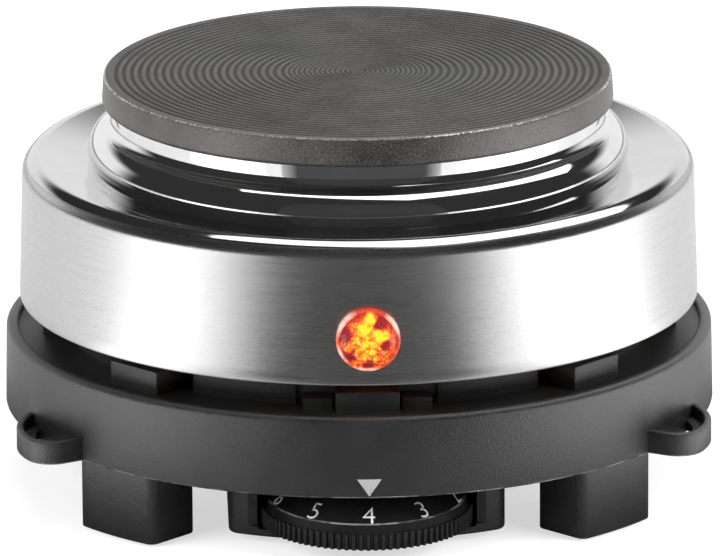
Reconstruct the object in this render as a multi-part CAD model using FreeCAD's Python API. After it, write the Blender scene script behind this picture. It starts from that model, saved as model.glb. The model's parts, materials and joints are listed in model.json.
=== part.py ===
import FreeCAD, Part
import math
import os

# Hot plate burner: a cast-iron plate on a steel housing and a plastic base with four legs.
# Millimetres, +Z up. The origin is on the table, under the centre of the base ring.
# The lamp and the dial face -Y, and the mains inlet faces +Y.

V = FreeCAD.Vector
UP = V(0, 0, 1)
full_turn = 360.0
hex_sides = 6
upright_lean = 0.01

# Heights of the stack, each from the piece below
leg_height = 14.0
ring_height = 16.0
skirt_gap = 5.7
housing_height = 26.8
spill_height = 11.8
plate_edge_height = 5.7

# Hot plate
plate_radius = 50.0
plate_draft = 0.3
plate_top_round = 0.6
plate_under_round = 0.9
groove_pitch = 1.56
groove_depth = 0.4
groove_rim = 1.2
core_radius = 14.0
core_pitch = 1.0
core_depth = 0.2
core_land = 1.0
boss_radius = 44.0
boss_height = 6.0
stud_bore_depth = 7.0

# Heating element under the plate
element_ring_radius = 32.0
element_tube = 3.25
element_gap_angle = 13.0
pin_inset_angle = 3.0
pin_radius = 2.0
pin_length = 19.0
element_clearance = 0.25
cover_sheet = 0.8
cover_margin = 1.0
pin_clearance = 1.0

# Spill ring
spill_wall = 0.7
spill_collar_radius = 48.0
spill_step_radius = 50.3
spill_step_drop = 5.0
spill_fillet = 2.3
spill_bead_radius = 53.0
spill_bead_rise = 3.7
spill_foot_radius = 52.7

# Housing shell
housing_wall = 0.8
housing_top_radius = 66.2
skirt_radius = 67.0
shoulder_round = 3.4
seat_radius = 55.0
crest_rise = 1.2
housing_opening = 46.5
tab_inner = 46.5
tab_width = 12.0
tab_sheet = 1.0

# Bridge, stud and shield
bridge_width = 18.0
bridge_sheet = 1.5
bridge_reach = 54.0
bridge_shoulder = 30.0
bridge_middle = 18.0
bridge_drop = 4.2
stud_radius = 3.0
stud_clearance = 0.3
stud_tail = 2.0
washer_radius = 6.0
washer_sheet = 1.2
nut_flats = 10.0
nut_height = 5.0
shield_radius = 44.0
shield_sheet = 0.6
shield_rim = 3.4

# Base tray
ring_radius = 70.0
ring_draft = 0.3
ring_wall = 2.4
lip_round = 1.2
lip_inner_round = 0.6
deck_drop = 1.2
deck_sheet = 2.4
cord_hole_radius = 4.5
cord_hole_y = 34.0
collar_radius = 57.5
collar_wall = 2.0
collar_height = 8.0
latch_bay_width = 27.2
latch_bay_depth = 0.9
pad_face = 63.5
pad_width = 12.5
pad_inner = 46.5
collar_gap = 3.0
locator_face = 62.5
locator_width = 12.4
locator_height = 4.2
latch_face = 60.2
latch_width = 5.8
latch_height = 2.4
latch_gap = 0.4
leg_inner = 56.5
leg_width = 20.0
leg_inset = 0.4
leg_round = 2.0
ear_azimuth = 29.5
ear_span = 21.3
ear_reach = 9.1
ear_corner = 5.1
ear_sweep = 18.3
ear_wall = 1.4
ear_height = 4.6
corner_azimuths = (45.0, 135.0, 225.0, 315.0)
side_azimuths = (0.0, 90.0, 180.0, 270.0)
front_azimuth = 270.0
rear_azimuth = 90.0

# Rubber foot pads, set into the legs
foot_reveal = 0.4
foot_depth = 1.4
foot_length = 12.0
foot_width = 7.0
foot_circle = 63.0
foot_round = 1.5
foot_clearance = 0.15

# Screws that hold the housing to the base
screw_circle = 52.0
screw_radius = 2.0
screw_head_radius = 3.6
screw_head_height = 2.6
screw_hole_clearance = 0.2
screw_tail = 1.0
screw_boss_radius = 5.0
screw_boss_drop = 4.0
insulator_sheet = 2.2
insulator_radius = 5.0
tab_nut_flats = 7.0
tab_nut_height = 3.2

# Bottom cover and its screws
cover_recess = 0.4
cover_plate = 1.8
cover_clearance = 0.4
small_screw_radius = 1.5
small_head_radius = 2.9
small_head_height = 2.0
small_clearance = 0.15
small_bite = 6.0
small_boss_radius = 4.0
cover_screw_x = 22.0
cover_screw_y = 36.0
vent_length = 24.0
vent_width = 2.6
vent_pitch = 6.0
vent_count = 5
vent_middle_y = 10.0

# Dial: wheel, spindle and shroud
dial_y = -49.0
wheel_radius = 20.7
wheel_z0 = 3.3
knurl_height = 3.3
knurl_depth = 0.45
knurl_teeth = 90
rim_inset = 0.35
rim_rise = 1.6
face_outer = 19.1
face_inner = 13.9
face_slope = 38.0
wheel_floor = 2.4
spindle_radius = 3.0
spindle_flat = 2.0
spindle_fit = 0.05
spindle_gap = 0.3
running_clearance = 0.06
shroud_half_width = 26.8
shroud_front_radius = 58.0
shroud_rear_y = -22.0
shroud_z0 = 1.5
shroud_floor = 1.5
shroud_front_round = 3.0
shroud_rear_round = 6.0
wheel_recess_margin = 0.6
pocket_margin = 3.0
pocket_floor = 2.0
shroud_screw_x = 21.0
shroud_screw_y = -28.0
shroud_counterbore = 5.5

# Thermostat on the deck, over the dial
thermo_half_width = 10.5
thermo_front_y = -53.8
thermo_rear_y = -33.5
thermo_sheet = 1.2
thermo_body_height = 7.0
bush_radius = 4.5
bush_drop = 6.0
bush_flange_radius = 5.4
bush_flange_height = 1.2
bush_clearance = 0.15
bush_recess_clearance = 0.3
bush_nut_flats = 12.0
bush_nut_height = 3.0
spindle_passage = 3.6
stack_y = -37.5
arm_sheet = 0.5
arm_width = 6.0
arm_front_y = -52.0
stack_spacer_radius = 4.0
stack_spacer_height = 2.5
bimetal_sheet = 0.8
bimetal_width = 7.0
bimetal_front_y = -48.0
strip_rear_margin = 2.5
terminal_reach = 17.0
rivet_radius = 1.5
rivet_clearance = 0.1
rivet_head_radius = 3.0
rivet_head_height = 1.2
rivet_bite = 4.0

# Indicator lamp in the skirt
lamp_z = 45.0
lens_radius = 6.2
lens_edge = 1.3
lens_crown_radius = 4.2
lens_crown_rise = 2.2
lens_tip_rise = 2.6
barrel_radius = 4.5
barrel_length = 12.0
barrel_wall = 1.2
barrel_clearance = 0.15
lens_front_wall = 1.6
neon_radius = 2.7
neon_length = 11.0
neon_nose = 2.0
clip_radius = 7.5
clip_sheet = 0.6
clip_clearance = 0.05

# Terminal block, thermal fuse and earth screw
block_half_width = 14.0
block_front_y = 41.0
block_rear_y = 53.0
block_height = 10.0
block_notch = 1.6
pole_pitch = 9.0
pole_screw_radius = 1.9
pole_screw_depth = 5.0
pole_screw_clearance = 0.15
pole_low = 3.6
pole_high = 8.0
fuse_x = 22.0
fuse_radius = 2.0
fuse_length = 11.0
fuse_lead_radius = 0.6
fuse_lead_length = 4.0
fuse_seat_gap = 0.1
fuse_clip_wall = 0.6
fuse_clip_width = 5.0
fuse_clip_foot = 4.0
earth_x = -50.0
earth_screw_radius = 2.0
earth_head_radius = 3.6
earth_head_height = 2.2
earth_clearance = 0.1

# Wires: radii, the straight run out of a terminal, and the points they pass on the way
mains_wire = 1.2
lamp_wire = 0.7
lead_out = 10.0
bend_share = 0.45
switched_via_x = -20.0
switched_via_y = -4.0
switched_via_z = 46.0
lamp_via_x = 8.0
lamp_via_y = -8.0
lamp_via_z = 43.0
lamp_lead_spread = 1.5
lamp_pole_offset = 6.0

# Mains inlet bush in the rear wall
gland_rise = 6.6
gland_bore = 3.2
gland_neck = 4.5
gland_flange = 5.6
gland_flange_sheet = 1.5
gland_clearance = 0.2
gland_wall = 3.5
gland_wall_half_width = 8.0
gland_sink = 0.3

# Levels that follow from the heights
ring_z0 = leg_height
ring_z1 = ring_z0 + ring_height
deck_z1 = ring_z1 - deck_drop
deck_z0 = deck_z1 - deck_sheet
cover_z0 = ring_z0 + cover_recess
cover_z1 = cover_z0 + cover_plate
skirt_z0 = ring_z1 + skirt_gap
tab_z1 = skirt_z0 + tab_sheet
pad_z1 = skirt_z0 - insulator_sheet
housing_z1 = skirt_z0 + housing_height
shoulder_z = housing_z1 + crest_rise - shoulder_round
plate_z0 = housing_z1 + spill_height
plate_z1 = plate_z0 + plate_edge_height
boss_z0 = plate_z0 - boss_height
element_z = boss_z0 + element_tube
pin_z0 = element_z - pin_length
bridge_end_z1 = housing_z1 - housing_wall
bridge_z1 = bridge_end_z1 - bridge_drop
bridge_z0 = bridge_z1 - bridge_sheet
shield_z0 = bridge_z0 - shield_sheet
washer_z0 = shield_z0 - washer_sheet
nut_z0 = washer_z0 - nut_height
knurl_z1 = wheel_z0 + knurl_height
face_z0 = knurl_z1 + rim_rise
face_z1 = face_z0 + (face_outer - face_inner) * math.tan(math.radians(face_slope))
thermo_z0 = deck_z1 + thermo_sheet
thermo_z1 = thermo_z0 + thermo_body_height
spacer_z0 = thermo_z1 + arm_sheet
bimetal_z0 = spacer_z0 + stack_spacer_height
rivet_z0 = bimetal_z0 + bimetal_sheet
spindle_z0 = wheel_z0 + wheel_floor
spindle_z1 = thermo_z1 - spindle_gap
gland_z = ring_z0 + gland_rise
ring_inner = ring_radius - ring_wall
ring_top_radius = ring_radius - ring_draft
stud_hole = stud_radius + stud_clearance
screw_hole = screw_radius + screw_hole_clearance
small_hole = small_screw_radius + small_clearance
pin_azimuths = tuple(rear_azimuth + side * (element_gap_angle + pin_inset_angle) for side in (1, -1))


def polar(radius, azimuth, z=0.0):
    """Point at a radius and an azimuth about the centre line."""
    angle = math.radians(azimuth)
    return V(radius * math.cos(angle), radius * math.sin(angle), z)


def box(x0, x1, y0, y1, z0, z1):
    return Part.makeBox(x1 - x0, y1 - y0, z1 - z0, V(x0, y0, z0))


def disc(radius, z0, z1, x=0.0, y=0.0):
    return Part.makeCylinder(radius, z1 - z0, V(x, y, z0))


def washer(outer, inner, z0, z1, x=0.0, y=0.0):
    return disc(outer, z0, z1, x, y).cut(disc(inner, z0, z1, x, y))


def bar(radius, start, end):
    """Round bar between two points."""
    run = end.sub(start)
    return Part.makeCylinder(radius, run.Length, start, run)


def hexagon(flats, z0, z1, x=0.0, y=0.0):
    """Hexagonal prism, by its width across flats."""
    reach = flats / math.sqrt(3.0)
    corners = [polar(reach, full_turn / hex_sides * side, z0) for side in range(hex_sides)]
    prism = Part.Face(Part.makePolygon(corners + corners[:1])).extrude(V(0, 0, z1 - z0))
    return moved(prism, x, y)


def hex_nut(flats, hole, z0, z1, x=0.0, y=0.0):
    return hexagon(flats, z0, z1, x, y).cut(disc(hole, z0, z1, x, y))


def arc(centre, radius, start, end):
    """Middle and end point of an arc in a section, by its angles in degrees."""
    angles = (math.radians((start + end) / 2), math.radians(end))
    return tuple((centre[0] + radius * math.cos(a), centre[1] + radius * math.sin(a)) for a in angles)


def section(start, *steps):
    """Face in the XZ plane. A step is the next point, or the middle and end points of an arc."""
    first = V(start[0], 0, start[1])
    here = first
    edges = []
    for step in steps:
        if isinstance(step[0], tuple):
            middle, end = [V(x, 0, z) for x, z in step]
            edges.append(Part.Arc(here, middle, end).toShape())
        else:
            end = V(step[0], 0, step[1])
            edges.append(Part.LineSegment(here, end).toShape())
        here = end
    edges.append(Part.LineSegment(here, first).toShape())
    return Part.Face(Part.Wire(edges))


def turned(start, *steps):
    """Solid of revolution about the centre line."""
    return section(start, *steps).revolve(V(0, 0, 0), UP, full_turn)


def moved(shape, x=0.0, y=0.0, z=0.0):
    return shape.translated(V(x, y, z))


def spoke(shape, azimuth):
    """Copy of a shape drawn along +X, turned to an azimuth about the centre line."""
    copy = shape.copy()
    copy.rotate(V(0, 0, 0), UP, azimuth)
    return copy


def upright_edges(shape):
    """Edges that run straight up."""
    boxes = [(edge, edge.BoundBox) for edge in shape.Edges]
    return [edge for edge, b in boxes if b.XLength + b.YLength < upright_lean * b.ZLength]


def strip(points, sheet, y0, y1):
    """Bent strip: the points run along its upper face towards +X, and it is as wide as y0 to y1."""
    normals = []
    for (xa, za), (xb, zb) in zip(points, points[1:]):
        length = math.hypot(xb - xa, zb - za)
        normals.append(((zb - za) / length, (xa - xb) / length))
    lower = []
    for index, (x, z) in enumerate(points):
        before = normals[max(index - 1, 0)]
        after = normals[min(index, len(normals) - 1)]
        share = sheet / (1 + before[0] * after[0] + before[1] * after[1])
        lower.append((x + (before[0] + after[0]) * share, z + (before[1] + after[1]) * share))
    face = section(points[0], *points[1:], *reversed(lower))
    return moved(face.extrude(V(0, y1 - y0, 0)), y=y0)


def wire_tube(name, points, radius):
    """Insulated wire along straight runs joined by tangent arcs."""
    edges = []
    here = points[0]
    for before, corner, after in zip(points, points[1:], points[2:]):
        back = before.sub(corner)
        ahead = after.sub(corner)
        shorter = min(back.Length, ahead.Length)
        turn = math.pi - back.getAngle(ahead)
        trim = bend_share * shorter
        back.normalize()
        ahead.normalize()
        inward = back.add(ahead).normalize()
        bend = trim / math.tan(turn / 2)
        rise = bend / math.cos(turn / 2) - bend
        start = corner.add(back.multiply(trim))
        end = corner.add(ahead.multiply(trim))
        edges.append(Part.LineSegment(here, start).toShape())
        edges.append(Part.Arc(start, corner.add(inward.multiply(rise)), end).toShape())
        here = end
        print(name, "bend radius", round(bend, 1))
    edges.append(Part.LineSegment(here, points[-1]).toShape())
    path = Part.Wire(edges)
    circle = Part.Wire(Part.makeCircle(radius, points[0], points[1].sub(points[0])))
    tube = path.makePipeShell([circle], True, False)
    print(name, "volume ratio", round(tube.Volume / (math.pi * radius ** 2 * path.Length), 4))
    return tube


def skirt_radius_at(z):
    """Outer radius of the flared skirt at a height."""
    share = (z - skirt_z0) / (shoulder_z - skirt_z0)
    return skirt_radius + (housing_top_radius - skirt_radius) * share


def turned_rings(inner, outer, pitch, depth):
    """Valleys and crests of the rings that are turned into the plate's top, from the inside out."""
    points = []
    for index in range(int((outer - inner) / pitch)):
        crest = inner + (index + 1) * pitch
        points += [(crest - pitch / 2, plate_z1 - depth), (crest, plate_z1)]
    return points


def hot_plate():
    """Cast plate with fine rings in the middle and coarse ones round them, and a boss below."""
    lower_radius = plate_radius + plate_draft
    half_groove = element_tube + element_clearance
    groove_z1 = element_z + half_groove
    bore_z1 = boss_z0 + stud_bore_depth
    return turned(
        (0, plate_z1),
        (core_land, plate_z1),
        *turned_rings(core_land, core_radius, core_pitch, core_depth),
        *turned_rings(core_radius, plate_radius - groove_rim, groove_pitch, groove_depth),
        (plate_radius - plate_top_round, plate_z1),
        arc((plate_radius - plate_top_round, plate_z1 - plate_top_round), plate_top_round, 90, 0),
        (lower_radius, plate_z0 + plate_under_round),
        arc((lower_radius - plate_under_round, plate_z0 + plate_under_round), plate_under_round, 0, -90),
        (boss_radius, plate_z0),
        (boss_radius, boss_z0),
        (element_ring_radius + half_groove, boss_z0),
        (element_ring_radius + half_groove, groove_z1),
        (element_ring_radius - half_groove, groove_z1),
        (element_ring_radius - half_groove, boss_z0),
        (stud_radius, boss_z0),
        (stud_radius, bore_z1),
        (0, bore_z1),
    )


def heating_element():
    """Sheathed ring, open at the rear, with a terminal pin at each end."""
    circle = Part.makeCircle(element_tube, V(element_ring_radius, 0, element_z), V(0, 1, 0))
    sweep = full_turn - 2 * element_gap_angle
    ring = Part.Face(Part.Wire(circle)).revolve(V(0, 0, 0), UP, sweep)
    pins = [bar(pin_radius, polar(element_ring_radius, a, element_z), polar(element_ring_radius, a, pin_z0))
            for a in pin_azimuths]
    return spoke(ring, rear_azimuth + element_gap_angle).multiFuse(pins)


def element_cover():
    """Sheet that closes the element's groove, with holes for the stud and the pins."""
    sheet = washer(boss_radius - cover_margin, stud_hole, boss_z0 - cover_sheet, boss_z0)
    for azimuth in pin_azimuths:
        pin = polar(element_ring_radius, azimuth)
        sheet = sheet.cut(disc(pin_radius + pin_clearance, boss_z0 - cover_sheet, boss_z0, pin.x, pin.y))
    return sheet


def spill_ring():
    """Pressed ring: a collar under the plate, a step, and a round bead down to the housing."""
    step_z = plate_z0 - spill_step_drop
    bead_z = housing_z1 + spill_bead_rise
    centre = (spill_step_radius, step_z + spill_fillet)
    inner_fillet = spill_fillet + spill_wall
    return turned(
        (spill_collar_radius, plate_z0),
        (spill_step_radius - spill_fillet, centre[1]),
        arc(centre, spill_fillet, 180, 270),
        ((spill_bead_radius, bead_z), (spill_foot_radius, housing_z1)),
        (spill_foot_radius - spill_wall, housing_z1),
        ((spill_bead_radius - spill_wall, bead_z), (spill_step_radius, step_z - spill_wall)),
        arc(centre, inner_fillet, 270, 180),
        (spill_collar_radius - spill_wall, plate_z0),
    )


def housing_envelope(inset=0.0):
    """Everything inside a face of the housing: a flat seat, a slight rise to the shoulder, and the skirt."""
    shoulder = (housing_top_radius - shoulder_round, shoulder_z)
    across = seat_radius - shoulder[0]
    down = housing_z1 - shoulder_z
    crest = math.atan2(down, across) - math.acos(shoulder_round / math.hypot(across, down))
    crest = math.degrees(crest)
    corner = inset * math.tan(math.radians(crest - 90) / 2)
    round_radius = shoulder_round - inset
    return turned(
        (0, housing_z1 - inset),
        (seat_radius + corner, housing_z1 - inset),
        (shoulder[0] + round_radius * math.cos(math.radians(crest)),
         shoulder_z + round_radius * math.sin(math.radians(crest))),
        arc(shoulder, round_radius, crest, 0),
        (skirt_radius - inset, skirt_z0),
        (0, skirt_z0),
    )


def housing_shell():
    """Pressed shell with a flared skirt, four inward tabs and the lamp's hole."""
    shell = housing_envelope().cut(housing_envelope(housing_wall))
    shell = shell.cut(disc(housing_opening, housing_z1 - housing_wall, housing_z1))
    reach = math.sqrt((skirt_radius - housing_wall / 2) ** 2 - (tab_width / 2) ** 2)
    tab = box(tab_inner, reach, -tab_width / 2, tab_width / 2, skirt_z0, tab_z1)
    tab = tab.cut(disc(screw_hole, skirt_z0, tab_z1, screw_circle))
    shell = shell.multiFuse([spoke(tab, azimuth) for azimuth in corner_azimuths])
    widest = max(skirt_radius, housing_top_radius)
    return shell.cut(bar(barrel_radius + barrel_clearance, V(0, 0, lamp_z), V(0, -widest, lamp_z)))


def mounting_bridge():
    """Cranked strap: its ends lie under the housing's top, and its middle takes the stud."""
    points = [
        (-bridge_reach, bridge_end_z1),
        (-bridge_shoulder, bridge_end_z1),
        (-bridge_middle, bridge_z1),
        (bridge_middle, bridge_z1),
        (bridge_shoulder, bridge_end_z1),
        (bridge_reach, bridge_end_z1),
    ]
    strap = strip(points, bridge_sheet, -bridge_width / 2, bridge_width / 2)
    strap = strap.cut(disc(stud_hole, bridge_z0, bridge_z1))
    earth_hole = earth_screw_radius + earth_clearance
    return strap.cut(disc(earth_hole, bridge_end_z1 - bridge_sheet, bridge_end_z1, earth_x))


def heat_shield():
    """Shallow pan under the bridge, with holes for the stud and the element's pins."""
    rim_z1 = bridge_z0 + shield_rim
    pan = turned(
        (stud_hole, bridge_z0),
        (shield_radius - shield_sheet, bridge_z0),
        (shield_radius - shield_sheet, rim_z1),
        (shield_radius, rim_z1),
        (shield_radius, shield_z0),
        (stud_hole, shield_z0),
    )
    for azimuth in pin_azimuths:
        centre = polar(element_ring_radius, azimuth)
        pan = pan.cut(disc(pin_radius + pin_clearance, shield_z0, bridge_z0, centre.x, centre.y))
    return pan


def stadium(half_width, z0, y0, y1):
    """Upright slot outline about the inlet's axis, round at the top and square at the foot."""
    top = gland_z + half_width
    column = box(-half_width, half_width, y0, y1, z0, gland_z)
    return column.fuse(bar(half_width, V(0, y0, gland_z), V(0, y1, gland_z)).common(
        box(-half_width, half_width, y0, y1, z0, top)))


def leg():
    """One leg, drawn along +X: its outer face follows the ring, and its foot has a pad's recess."""
    body = box(leg_inner, ring_radius, -leg_width / 2, leg_width / 2, foot_reveal, deck_z0)
    body = body.common(disc(ring_radius - leg_inset, foot_reveal, deck_z0))
    body = body.makeFillet(leg_round, upright_edges(body))
    return body.cut(foot_pad(foot_clearance))


def foot_pad(clearance=0.0):
    """Rubber pad, drawn along +X, or the recess for it."""
    half_length = foot_length / 2 + clearance
    half_width = foot_width / 2 + clearance
    pad = box(foot_circle - half_width, foot_circle + half_width, -half_length, half_length,
              0, foot_reveal + foot_depth)
    return pad.makeFillet(foot_round, upright_edges(pad))


def ear(side):
    """Side loop, drawn along +X: a blunt front corner, then a long sweep back into the ring."""
    half = ear_span / 2
    root = ring_radius - ring_wall / 2
    tip = math.sqrt(ring_radius ** 2 - half ** 2) + ear_reach
    corner = (tip - ear_corner, ear_corner - half)
    sweep = (tip - ear_sweep, ear_corner - half)
    inner_sweep = ear_sweep - ear_wall
    outer_angle = math.degrees(math.acos((root - sweep[0]) / ear_sweep))
    inner_angle = math.degrees(math.acos((root - sweep[0]) / inner_sweep))
    band = section(
        (root, -half),
        (corner[0], -half),
        arc(corner, ear_corner, -90, 0),
        arc(sweep, ear_sweep, 0, outer_angle),
        (root, sweep[1] + inner_sweep * math.sin(math.radians(inner_angle))),
        arc(sweep, inner_sweep, inner_angle, 0),
        arc(corner, ear_corner - ear_wall, 0, -90),
        (root, ear_wall - half),
    )
    loop = band.extrude(V(0, -ear_height, 0))
    loop.rotate(V(0, 0, 0), V(1, 0, 0), -90)
    loop = moved(loop, z=ring_z0)
    return loop if side > 0 else loop.mirror(V(0, 0, 0), V(0, 1, 0))


def base_tray():
    """Plastic moulding: ring wall, deck, collar, pads, locators, legs and side loops."""
    lip_inner = ring_top_radius - ring_wall
    tray = turned(
        (0, deck_z1),
        (lip_inner, deck_z1),
        (lip_inner, ring_z1 - lip_inner_round),
        arc((lip_inner + lip_inner_round, ring_z1 - lip_inner_round), lip_inner_round, 180, 90),
        (ring_top_radius - lip_round, ring_z1),
        arc((ring_top_radius - lip_round, ring_z1 - lip_round), lip_round, 90, 0),
        (ring_radius, ring_z0),
        (ring_inner, ring_z0),
        (ring_inner, deck_z0),
        (0, deck_z0),
    )
    collar_inner = collar_radius - collar_wall
    collar = washer(collar_radius, collar_inner, deck_z1, deck_z1 + collar_height)
    half_gap = pad_width / 2 + collar_gap
    gap = box(0, ring_radius, -half_gap, half_gap, deck_z1, deck_z1 + collar_height)
    collar = collar.cut(Part.makeCompound([spoke(gap, azimuth) for azimuth in corner_azimuths]))
    half_bay = latch_bay_width / 2
    bay = box(0, ring_radius, -half_bay, half_bay, deck_z1, deck_z1 + collar_height)
    bay = bay.cut(disc(collar_radius - latch_bay_depth, deck_z1, deck_z1 + collar_height))
    collar = collar.cut(spoke(bay, front_azimuth))
    pad = box(pad_inner, pad_face, -pad_width / 2, pad_width / 2, deck_z1, pad_z1)
    boss = disc(screw_boss_radius, deck_z0 - screw_boss_drop, deck_z0, screw_circle)
    middle_of_collar = collar_radius - collar_wall / 2
    locator = box(middle_of_collar, locator_face, -locator_width / 2, locator_width / 2,
                  deck_z1, deck_z1 + locator_height)
    additions = [collar]
    for azimuth in corner_azimuths:
        additions += [spoke(pad, azimuth), spoke(boss, azimuth), spoke(leg(), azimuth)]
    for azimuth in side_azimuths:
        additions.append(spoke(locator, azimuth))
    for side in (-1, 1):
        start = side * (locator_width / 2 + latch_gap + latch_width / 2)
        latch = box(middle_of_collar, latch_face, start - latch_width / 2, start + latch_width / 2,
                    deck_z1, deck_z1 + latch_height)
        additions.append(spoke(latch, front_azimuth))
        additions.append(spoke(ear(side), front_azimuth + side * (90 - ear_azimuth)))
    for x, y in cover_screw_places() + shroud_screw_places():
        additions.append(disc(small_boss_radius, cover_z1, deck_z0, x, y))
    additions.append(box(-gland_wall_half_width, gland_wall_half_width, ring_inner - gland_wall,
                         ring_inner + ring_wall / 2, cover_z1 + gland_clearance, deck_z0))
    tray = tray.multiFuse(additions)
    screw_passage = disc(screw_hole, deck_z0 - screw_boss_drop, pad_z1, screw_circle)
    cuts = [spoke(screw_passage, azimuth) for azimuth in corner_azimuths]
    for x, y in cover_screw_places() + shroud_screw_places():
        cuts.append(disc(small_hole, cover_z1, cover_z1 + small_bite, x, y))
    cuts.append(disc(bush_radius + bush_clearance, deck_z0, deck_z1, 0, dial_y))
    cuts.append(disc(cord_hole_radius, deck_z0, deck_z1, 0, cord_hole_y))
    flange_y0 = ring_radius - gland_sink - gland_flange_sheet - gland_clearance
    cuts.append(stadium(gland_neck + gland_clearance, 0, ring_inner - gland_wall, ring_radius))
    cuts.append(stadium(gland_flange + gland_clearance, 0, flange_y0, ring_radius))
    return tray.cut(Part.makeCompound(cuts)).removeSplitter()


def cover_screw_places():
    return [(side * cover_screw_x, cover_screw_y) for side in (-1, 1)]


def shroud_screw_places():
    return [(side * shroud_screw_x, shroud_screw_y) for side in (-1, 1)]


def bottom_cover():
    """Plate that closes the base from below, notched round the legs, with vent slots."""
    plate = disc(ring_inner - cover_clearance, cover_z0, cover_z1)
    half_notch = leg_width / 2 + cover_clearance
    notch = box(leg_inner - cover_clearance, ring_radius, -half_notch, half_notch, cover_z0, cover_z1)
    cuts = [spoke(notch, azimuth) for azimuth in corner_azimuths]
    for x, y in cover_screw_places() + shroud_screw_places():
        cuts.append(disc(small_hole, cover_z0, cover_z1, x, y))
    cuts.append(disc(spindle_radius + spindle_gap, cover_z0, cover_z1, 0, dial_y))
    for index in range(vent_count):
        y = vent_middle_y + (index - (vent_count - 1) / 2) * vent_pitch
        half_run = (vent_length - vent_width) / 2
        slot = box(-half_run, half_run, y - vent_width / 2, y + vent_width / 2, cover_z0, cover_z1)
        ends = [disc(vent_width / 2, cover_z0, cover_z1, side * half_run, y) for side in (-1, 1)]
        cuts.append(slot.multiFuse(ends))
    return plate.cut(Part.makeCompound(cuts))


def small_screws(places, head_z1):
    """Self-tapping screws with their heads under a face, up into the base's bosses."""
    screws = []
    for x, y in places:
        head = disc(small_head_radius, head_z1 - small_head_height, head_z1, x, y)
        screws.append(head.fuse(disc(small_screw_radius, head_z1, cover_z1 + small_bite, x, y)))
    return Part.makeCompound(screws)


def housing_fixing():
    """One screw, washer and nut that hold a tab of the housing to its pad, drawn along +X."""
    head_z1 = deck_z0 - screw_boss_drop
    nut_z1 = tab_z1 + tab_nut_height
    screw = disc(screw_head_radius, head_z1 - screw_head_height, head_z1, screw_circle)
    screw = screw.fuse(disc(screw_radius, head_z1, nut_z1 + screw_tail, screw_circle))
    insulator = washer(insulator_radius, screw_hole, pad_z1, skirt_z0, screw_circle)
    nut = hex_nut(tab_nut_flats, screw_radius, tab_z1, nut_z1, screw_circle)
    return screw, insulator, nut


def four(shape):
    """The same piece at each corner of the base."""
    return Part.makeCompound([spoke(shape, azimuth) for azimuth in corner_azimuths])


def d_bar(radius, flat, z0, z1):
    """Bar with one flat, on the dial's axis."""
    kept = box(-radius, flat, dial_y - radius, dial_y + radius, z0, z1)
    return disc(radius, z0, z1, 0, dial_y).common(kept)


def dial_wheel():
    """Thumbwheel: a knurled edge, a smooth rim, and a cone that carries the numbers."""
    tooth = full_turn / knurl_teeth
    corners = []
    for index in range(knurl_teeth):
        corners.append(polar(wheel_radius, index * tooth, wheel_z0))
        corners.append(polar(wheel_radius - knurl_depth, index * tooth + tooth / 2, wheel_z0))
    knurl = Part.Face(Part.makePolygon(corners + corners[:1])).extrude(V(0, 0, knurl_height))
    rim_radius = wheel_radius - knurl_depth - rim_inset
    core = turned(
        (0, wheel_z0),
        (rim_radius, wheel_z0),
        (rim_radius, knurl_z1),
        (face_outer, face_z0),
        (face_inner, face_z1),
        (0, face_z1),
    )
    wheel = moved(knurl.fuse(core), y=dial_y)
    return wheel.cut(d_bar(spindle_radius + spindle_fit, spindle_flat + spindle_fit, spindle_z0, face_z1))


def dial_spindle():
    """Thermostat spindle, flatted where the wheel is pushed on."""
    flat_end = d_bar(spindle_radius, spindle_flat, spindle_z0, face_z1)
    return flat_end.fuse(disc(spindle_radius, face_z1, spindle_z1, 0, dial_y))


def dial_shroud():
    """Block under the base with a round pocket, and a recess in its floor that the wheel turns in."""
    body = box(-shroud_half_width, shroud_half_width, -ring_radius, shroud_rear_y, shroud_z0, cover_z0)
    body = body.common(disc(shroud_front_radius, shroud_z0, cover_z0))
    uprights = upright_edges(body)
    rear = [e for e in uprights if e.BoundBox.YMax > shroud_rear_y - shroud_rear_round]
    body = body.makeFillet(shroud_rear_round, rear)
    front = [e for e in upright_edges(body) if e.BoundBox.YMax < shroud_rear_y - shroud_rear_round]
    body = body.makeFillet(shroud_front_round, front)
    cuts = [
        disc(wheel_radius + pocket_margin, shroud_z0 + pocket_floor, cover_z0, 0, dial_y),
        disc(wheel_radius + wheel_recess_margin, shroud_z0 + shroud_floor, cover_z0, 0, dial_y),
    ]
    head_z1 = shroud_z0 + shroud_counterbore
    for x, y in shroud_screw_places():
        cuts.append(disc(small_hole, shroud_z0, cover_z0, x, y))
        cuts.append(disc(small_head_radius + small_clearance, shroud_z0, head_z1, x, y))
    return body.cut(Part.makeCompound(cuts))


def thermostat_plate():
    """Sheet on the deck that the thermostat is built on."""
    sheet = box(-thermo_half_width, thermo_half_width, thermo_front_y, thermo_rear_y, deck_z1, thermo_z0)
    return sheet.cut(disc(bush_radius + bush_clearance, deck_z1, thermo_z0, 0, dial_y))


def thermostat_bush():
    """Threaded bush that the spindle turns in."""
    sleeve = disc(bush_radius, deck_z0 - bush_drop, thermo_z0, 0, dial_y)
    flange_z1 = thermo_z0 + bush_flange_height
    bush = sleeve.fuse(disc(bush_flange_radius, thermo_z0, flange_z1, 0, dial_y))
    return bush.cut(disc(spindle_radius + running_clearance, deck_z0 - bush_drop, flange_z1, 0, dial_y))


def thermostat_nut():
    return hex_nut(bush_nut_flats, bush_radius, deck_z0 - bush_nut_height, deck_z0, 0, dial_y)


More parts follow.
